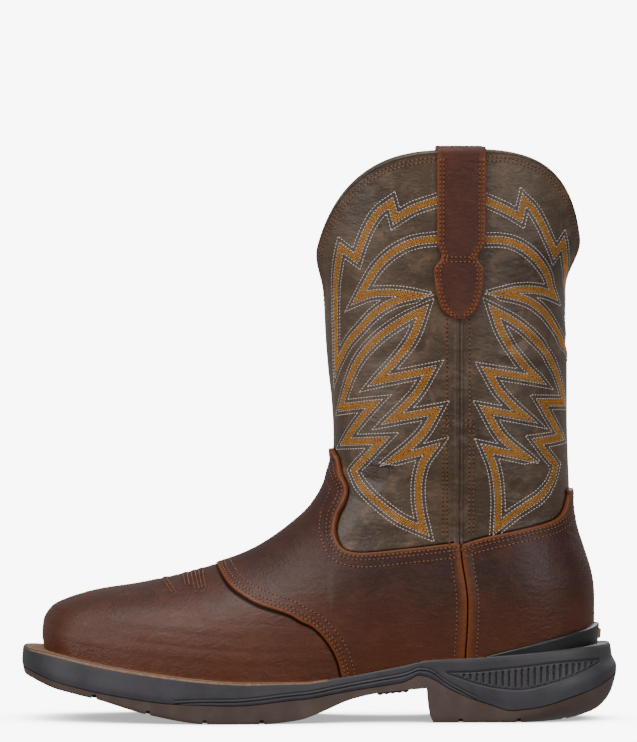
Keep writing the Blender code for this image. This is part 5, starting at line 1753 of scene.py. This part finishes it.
def plan_outline(margin, count):
    """Closed outline from above at a margin outside the last, its points even in length."""
    along = 0.5 + 0.5 * np.cos(np.linspace(0.0, math.pi, 1601))
    halves = []
    for side in (-1.0, 1.0):
        y = last_middle(along) + side * last_half_width(along)
        line = np.stack((place(along), y), axis=-1)
        tangent = np.gradient(line, axis=0)
        normal = np.stack((tangent[:, 1], -tangent[:, 0]), axis=-1) * -side
        normal[0] = (-1.0, 0.0)
        normal[-1] = (1.0, 0.0)
        line = line + unit(normal) * margin(along)[:, None]
        distance = along_line(line)
        at = np.linspace(0.0, distance[-1], count // 2 + 1)
        halves.append(points_at(at, distance, line))
    ring = np.concatenate((halves[0], halves[1][-2::-1]))
    return np.concatenate((ring, 0.0 * ring[:, :1]), axis=1)


def inside_last(inset, count):
    """Closed outline at an even distance inside the last."""
    return plan_outline(lambda along: 0.0 * along - inset, count)


def sole_margin(along):
    """Margin of the welt and of the midsole's top edge past the last."""
    return through(MARGINS, 1, along)


def heel_weight(along):
    """1 at the heel's back, fading to 0 along its sides."""
    p = np.clip(1.0 - along * LAST_LENGTH / HEEL_FADE, 0.0, 1.0)
    return p * p * (3.0 - 2.0 * p)


def midsole_bottom(x):
    """Height of the midsole's lower edge at an X."""
    at = sole_station(x)
    drop = through(MIDSOLE_DROP, 1, at) * MIDSOLE_THICKNESS + through(MIDSOLE_DROP, 2, at) * SWOOP_DEPTH
    return sole_top(x) - drop


def ring_normals(ring):
    """Outward directions of a closed outline in plan."""
    inner = ring[:-1]
    tangent = np.roll(inner, -1, axis=0) - np.roll(inner, 1, axis=0)
    normal = unit(np.stack((-tangent[:, 1], tangent[:, 0], 0.0 * tangent[:, 0]), axis=-1))
    normal = np.concatenate((normal, normal[:1]))
    centre = inner.mean(0)
    return normal * np.sign(np.sum((ring - centre) * normal, axis=1).mean())


# Lower groove of the midsole's side, above its lower edge: station, share of the side's height
MIDSOLE_GROOVE = (
    (0.70, 0.02), (0.90, 0.16), (1.00, 0.34), (1.10, 0.36), (1.25, 0.30), (1.40, 0.22),
    (1.60, 0.10), (1.66, 0.02),
)

# Depths of the lines and slots in the midsole's side, the distance between the slots, and the width
# over which its lower edge rounds off
WINDOW_RIM_DEPTH = 0.0006
RIB_DEPTH = 0.0011
RIB_PITCH = 0.0034
MIDSOLE_LINE_DEPTH = 0.0006
MIDSOLE_ROUNDING = 0.0007

# Section of the welt: share of its margin out from the last, share of WELT_THICKNESS up
WELT_PROFILE = (
    (-0.6, 0.5), (-0.6, 0.05), (0.55, 0.05), (0.85, -0.05), (0.98, -0.25), (1.0, -0.5),
    (1.0, -0.8), (0.95, -0.97), (0.80, -1.05),
)

# Ends of the welt: how low they are skived, and over what length
WELT_LOW = 0.0009
WELT_FADE = 0.010

# Rings of the footbed: distance inside the last, height over the feather line
FOOTBED_RINGS = ((0.0023, 0.0008), (0.0023, 0.0030), (0.0032, 0.0036), (0.012, 0.0036), (0.028, 0.0036))

# Points round each of the sole's pieces
MIDSOLE_POINTS = 1400
WELT_POINTS = 900
OUTSOLE_POINTS = 560
FOOTBED_POINTS = 240


def midsole_relief(points):
    """Depth of the midsole's grooves and of its ribbed window at points of its side."""
    x = points[..., 0]
    z = points[..., 2]
    station = sole_station(x)
    top = sole_top(x)
    low = top - through(WINDOW, 1, station) * SWOOP_DEPTH
    high = top - through(WINDOW, 2, station) * SWOOP_DEPTH
    inside = np.minimum(z - low, high - z)
    inside = np.minimum(inside, (station - WINDOW[-1][0]) * HEEL_LENGTH)
    inside = np.minimum(inside, (WINDOW[0][0] - station) * HEEL_LENGTH)
    rim = WINDOW_RIM_DEPTH * np.exp(-0.5 * (inside / 0.00035) ** 2)
    beside_rib = np.abs((station * HEEL_LENGTH / RIB_PITCH) % 1.0 - 0.5) * RIB_PITCH
    slot = np.clip(1.0 - (beside_rib - 0.0003) / 0.0004, 0.0, 1.0)
    slot = RIB_DEPTH * slot * np.clip((inside - 0.0008) / 0.0004, 0.0, 1.0)
    height = z - midsole_bottom(x)
    side_height = top - midsole_bottom(x)
    above = height - through(MIDSOLE_GROOVE, 1, station) * side_height
    on_line = (station > MIDSOLE_GROOVE[0][0]) & (station < MIDSOLE_GROOVE[-1][0])
    line = MIDSOLE_LINE_DEPTH * on_line * (np.exp(-0.5 * (above / 0.0003) ** 2)
                                           + 0.6 * np.exp(-0.5 * ((above - 0.0016) / 0.0003) ** 2))
    edge = np.clip(1.0 - height / MIDSOLE_ROUNDING, 0.0, 1.0)
    lower_edge = 0.0006 * (1.0 - np.sqrt(1.0 - 0.98 * edge**2))
    return np.maximum(rim, slot) + line + lower_edge


class BOOT_OT_midsole(bpy.types.Operator):
    """Makes the welt, the midsole with its ribbed windows, and the footbed"""

    bl_idname = "boot.midsole"
    bl_label = "Midsole"

    def execute(self, context):
        downs = np.concatenate((np.linspace(0.0, 0.1, 5)[:-1], np.linspace(0.1, 0.94, 52)[:-1],
                                np.linspace(0.94, 1.0, 6)))
        rings = []
        for down in downs:
            flare = float(through(MIDSOLE_SIDE, 1, down))
            lip = float(through(MIDSOLE_SIDE, 2, down))
            ring = plan_outline(lambda along: sole_margin(along) + SWOOP_FLARE * flare * heel_weight(along)
                                + MIDSOLE_LIP * lip, MIDSOLE_POINTS)
            top = sole_top(ring[:, 0])
            ring[:, 2] = top + (midsole_bottom(ring[:, 0]) - top) * down
            rings.append(ring)
        rings = np.array(rings)
        normal = ring_normals(rings[0])[None]
        depth = midsole_relief(rings)
        rings = rings - normal * depth[..., None]
        inner = inside_last(0.012, MIDSOLE_POINTS)
        top = inner.copy()
        top[:, 2] = sole_top(inner[:, 0])
        low = inner.copy()
        low[:, 2] = midsole_bottom(inner[:, 0])
        rings = np.concatenate((top[None], rings, low[None]))
        depth = np.concatenate((depth[:1] * 0.0, depth, depth[:1] * 0.0))
        mesh = skin("midsole_side", rings, wrap_columns=True)
        tree = tree_of(rings.reshape(-1, 3))
        flat = depth.ravel()
        # The depths are kept for the painted shade in the grooves and slots
        mark(mesh, "groove_mm", [1000.0 * flat[tree.find(v.co)[1]] for v in mesh.vertices])
        new_piece("midsole_side", mesh, FINISHES["midsole"], ("midsole",))
        self.make_welt()
        self.make_footbed()
        return {"FINISHED"}

    def make_welt(self):
        """Tan welt round the forefoot, its edge skived at both ends."""
        rings = []
        for out, up in WELT_PROFILE:
            ring = inside_last(0.004, WELT_POINTS)
            if out > 0.0:
                ring = plan_outline(lambda along: sole_margin(along) * out + MIDSOLE_LIP * 0.7 * out,
                                    WELT_POINTS)
            ring[:, 2] = sole_top(ring[:, 0]) + 0.0002 + up * WELT_THICKNESS * (1.0 if up < 0.0 else 0.1)
            rings.append(ring)
        rings = np.array(rings)
        end = float(place(1.0)) + WELT_REACH
        fade = np.clip((end - rings[..., 0]) / WELT_FADE, 0.0, 1.0)
        feather = sole_top(rings[..., 0])
        rings[..., 2] = feather - WELT_LOW + (rings[..., 2] - feather + WELT_LOW) * fade
        keep = rings[4, :, 0] < end + 0.0005
        first = int(np.argmax(~keep))
        last = len(keep) - int(np.argmax(~keep[::-1]))
        strip = np.concatenate((rings[:, last:-1], rings[:, :first]), axis=1)
        new_piece("welt_strip", skin("welt_strip", strip), FINISHES["welt"], ("welt",))

    def make_footbed(self):
        """Footbed, seen through the collar."""
        rings = []
        for inset, lift in FOOTBED_RINGS:
            ring = inside_last(inset, FOOTBED_POINTS)
            ring[:, 2] = sole_top(ring[:, 0]) + lift
            rings.append(ring)
        mesh = skin("footbed_top", np.array(rings), wrap_columns=True, flip=True)
        close_ends(mesh)
        new_piece("footbed_top", mesh, FINISHES["footbed"], ("insole",))


def prism(name, outline, start, end):
    """Prism across the boot over an outline of X and Z."""
    bm = bmesh.new()
    face = bm.faces.new([bm.verts.new((x, start, z)) for x, z in outline])
    made = bmesh.ops.extrude_face_region(bm, geom=[face])["geom"]
    moved = [g for g in made if isinstance(g, bmesh.types.BMVert)]
    bmesh.ops.translate(bm, verts=moved, vec=(0.0, end - start, 0.0))
    bmesh.ops.recalc_face_normals(bm, faces=bm.faces)
    return placed(name, mesh_from(bm, name))


def arch_height(station):
    """Height of the outsole's underside in the arch."""
    return float(through(ARCH_LINE, 1, station)) * ARCH_HEIGHT


# Reach of the notches in from the edge of the tread, and the rib between them and the cross grooves
NOTCH_REACH = 0.011
TREAD_RIB = 0.005

# Half widths of a groove at its mouth and at its ground, as shares of half GROOVE_WIDTH
GROOVE_MOUTH = 1.35
GROOVE_GROUND = 0.8

# Forms that cut the sole run past it this far, sideways and down
FORM_SIDE = 0.1
FORM_BELOW = 0.01


class BOOT_OT_outsole(bpy.types.Operator):
    """Makes the lugged outsole and gives the ribbed pad under the arch the midsole's rubber"""

    bl_idname = "boot.outsole"
    bl_label = "Outsole"

    def execute(self, context):
        rings = []
        for height in np.linspace(0.0, 1.0, 12) ** 1.4:
            heel = float(through(OUTSOLE_SIDE, 1, height))
            bevel = float(through(OUTSOLE_SIDE, 2, height))
            ring = plan_outline(lambda along: sole_margin(along) + MIDSOLE_LIP * 0.8 + heel_weight(along)
                                * (SWOOP_FLARE - heel * HEEL_CURVE) - OUTSOLE_BEVEL * bevel, OUTSOLE_POINTS)
            along = share(ring[:, 0])
            top = midsole_bottom(ring[:, 0]) - 0.0001
            bottom = np.minimum(through(TOE_UNDERSIDE, 1, along) * TOE_LIFT, top - OUTSOLE_THINNEST)
            ring[:, 2] = bottom + (top - bottom) * height
            rings.append(ring)
        mesh = skin("outsole_lugs", np.array(rings), wrap_columns=True)
        close_ends(mesh, split_ends=True)
        obj = new_piece("outsole_lugs", mesh, FINISHES["outsole"], ("outsole",))
        breast = HEEL_BACK - HEEL_LENGTH
        foot = breast + BREAST_SLOPE
        stations = np.linspace(ARCH_LINE[0][0], ARCH_LINE[-1][0], 40)
        outline = [(float(sole_place(stations[0])), -FORM_BELOW)]
        outline += [(float(sole_place(t)), arch_height(t)) for t in stations]
        outline += [(breast + 0.4 * BREAST_SLOPE, BREAST_BEND), (foot, 0.0), (foot, -FORM_BELOW)]
        self.cut(obj, prism("arch_form", outline, -FORM_SIDE, FORM_SIDE))
        for station in GROOVES:
            x = float(sole_place(station))
            ground = float(through(TOE_UNDERSIDE, 1, share(x))) * TOE_LIFT
            half = 0.5 * GROOVE_WIDTH
            mouth = GROOVE_MOUTH * half
            floor = GROOVE_GROUND * half
            outline = ((x - mouth, ground - 0.004), (x + mouth, ground - 0.004),
                       (x + floor, ground + GROOVE_DEPTH), (x - floor, ground + GROOVE_DEPTH))
            middle = float(last_middle(share(x)))
            notch = float(last_half_width(share(x)) + sole_margin(share(x))) - NOTCH_REACH
            groove = notch - TREAD_RIB
            reaches = ((-FORM_SIDE, middle - notch), (middle - groove, middle + groove),
                       (middle + notch, FORM_SIDE))
            for start, end in reaches:
                self.cut(obj, prism("groove_form", outline, start, end))
        obj.data.set_sharp_from_angle(angle=math.radians(35.0))
        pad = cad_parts["shank_pad"]
        pad.material_slots[0].material = FINISHES["midsole"]
        return {"FINISHED"}

    def cut(self, obj, form):
        """Takes a form out of a piece."""
        modifier = obj.modifiers.new(form.name, "BOOLEAN")
        modifier.operation = "DIFFERENCE"
        modifier.solver = "EXACT"
        modifier.object = form
        bpy.context.view_layer.update()
        done = bpy.data.meshes.new_from_object(obj.evaluated_get(bpy.context.evaluated_depsgraph_get()))
        obj.modifiers.clear()
        obj.data = done
        bpy.data.objects.remove(form, do_unlink=True)


# Floor: width, length, where it starts behind the camera, where it bends up and the bend's radius
FLOOR_WIDTH = 24.0
FLOOR_LENGTH = 18.0
FLOOR_START = -9.0
FLOOR_BEND = 3.0
FLOOR_RADIUS = 2.0

# Glow of the floor where the boot shades it and where it lies open
FLOOR_SHADE = 0.5
FLOOR_GLOW = 8.3

# Soft boxes: name, place, the point they face, side in metres and power in watts. Then the strength
# of the pale surround
LIGHTS = (
    ("top_light", (-0.35, -0.5, 1.5), (-0.08, 0.0, 0.15), 1.0, 20.0),
    ("front_light", (-1.7, -1.3, 0.7), (-0.1, 0.0, 0.12), 0.9, 23.0),
    ("side_light", (1.3, -1.6, 0.7), (-0.05, 0.0, 0.15), 0.7, 18.0),
    ("back_light", (0.6, 1.2, 1.1), (-0.05, 0.0, 0.15), 0.9, 14.0),
)
SURROUND = 0.38

# Camera: height of the picture at the boot, distance, sensor in millimetres, tilt in degrees, target
FRAME_HEIGHT = 0.3933
CAMERA_DISTANCE = 5.0
SENSOR = 24.0
CAMERA_TILT = 1.6
CAMERA_TARGET = (-0.0965, 0.0, 0.1842)


class BOOT_OT_stage(bpy.types.Operator):
    """Sets up the pale floor, the soft lights and the camera"""

    bl_idname = "boot.stage"
    bl_label = "Stage"

    def execute(self, context):
        self.make_floor(context.scene.boot_colours.floor)
        self.make_lights()
        self.make_camera()
        return {"FINISHED"}

    def make_floor(self, colour):
        """Pale floor that runs up into a wall behind, with the boot's soft shade on it."""
        bm = bmesh.new()
        bmesh.ops.create_grid(bm, x_segments=2, y_segments=60, size=0.5)
        for vertex in bm.verts:
            y = FLOOR_START + (vertex.co.y + 0.5) * FLOOR_LENGTH
            past_bend = max(y - FLOOR_BEND, 0.0)
            turn = min(past_bend / FLOOR_RADIUS, 0.5 * math.pi)
            up = FLOOR_RADIUS * (1.0 - math.cos(turn)) + max(past_bend - 0.5 * math.pi * FLOOR_RADIUS, 0.0)
            y = min(y, FLOOR_BEND) + FLOOR_RADIUS * math.sin(turn)
            vertex.co = (vertex.co.x * FLOOR_WIDTH, y, up)
        mesh = mesh_from(bm, "floor")
        floor = placed("floor", mesh)
        mesh.shade_smooth()
        material = bpy.data.materials.new("studio_floor")
        material.use_nodes = True
        tree = material.node_tree
        shade = node(tree, "ShaderNodeAmbientOcclusion", {"Distance": 0.05}, samples=16)
        soft = ramp(tree, shade.outputs["AO"], 0.05, 0.95, FLOOR_SHADE, FLOOR_GLOW)
        glow = node(tree, "ShaderNodeEmission", {"Color": tuple(colour), "Strength": soft})
        tree.links.new(glow.outputs[0], tree.nodes["Material Output"].inputs["Surface"])
        mesh.materials.append(material)
        floor.visible_diffuse = False
        floor.visible_glossy = False

    def make_lights(self):
        """Soft boxes over the boot, before it on both sides and behind it, and a pale surround."""
        for name, where, target, size, power in LIGHTS:
            light = bpy.data.lights.new(name, "AREA")
            light.shape = "SQUARE"
            light.size = size
            light.energy = power
            obj = placed(name, light)
            obj.location = where
            obj.rotation_euler = (Vector(target) - Vector(where)).to_track_quat("-Z", "Y").to_euler()
        world = bpy.data.worlds.new("surround")
        world.use_nodes = True
        background = world.node_tree.nodes["Background"]
        background.inputs["Color"].default_value = linear("#f5f5f5")
        background.inputs["Strength"].default_value = SURROUND
        bpy.context.scene.world = world

    def make_camera(self):
        """Long lens from the lateral side, a little above the floor."""
        camera = bpy.data.cameras.new("camera")
        camera.sensor_fit = "VERTICAL"
        camera.sensor_height = SENSOR
        camera.lens = SENSOR * CAMERA_DISTANCE / FRAME_HEIGHT
        camera.clip_end = 8.0 * CAMERA_DISTANCE
        obj = placed("camera", camera)
        target = Vector(CAMERA_TARGET)
        tilt = math.radians(CAMERA_TILT)
        obj.location = target + CAMERA_DISTANCE * Vector((0.0, -math.cos(tilt), math.sin(tilt)))
        obj.rotation_euler = (target - obj.location).to_track_quat("-Z", "Y").to_euler()
        bpy.context.scene.camera = obj


class BOOT_PT_panel(bpy.types.Panel):
    """Sizes, colours and steps of the boot"""

    bl_label = "Western work boot"
    bl_idname = "BOOT_PT_panel"
    bl_space_type = "VIEW_3D"
    bl_region_type = "UI"
    bl_category = "Boot"

    def draw(self, context):
        layout = self.layout
        for name in BootSizes.__annotations__:
            layout.prop(context.scene.boot_sizes, name)
        for name in BootColours.__annotations__:
            layout.prop(context.scene.boot_colours, name)
        for operator in STEPS:
            layout.operator(operator.bl_idname)


# Operators in the order in which they run
STEPS = (
    BOOT_OT_finishes,
    BOOT_OT_stage,
    BOOT_OT_shaft,
    BOOT_OT_foot,
    BOOT_OT_stabiliser,
    BOOT_OT_straps,
    BOOT_OT_side_seams,
    BOOT_OT_flames,
    BOOT_OT_stitching,
    BOOT_OT_midsole,
    BOOT_OT_outsole,
)
CLASSES = (BootSizes, BootColours) + STEPS + (BOOT_PT_panel,)


def register():
    """Registers the classes and hangs the sizes and colours on the scene."""
    for cls in CLASSES:
        bpy.utils.register_class(cls)
    bpy.types.Scene.boot_sizes = bpy.props.PointerProperty(type=BootSizes)
    bpy.types.Scene.boot_colours = bpy.props.PointerProperty(type=BootColours)


def unregister():
    """Takes the sizes, colours and classes out again."""
    del bpy.types.Scene.boot_colours
    del bpy.types.Scene.boot_sizes
    for cls in reversed(CLASSES):
        bpy.utils.unregister_class(cls)


def main():
    """Makes the boot step by step."""
    register()
    for step in STEPS:
        group, name = step.bl_idname.split(".")
        getattr(getattr(bpy.ops, group), name)()


if __name__ == "__main__":
    main()
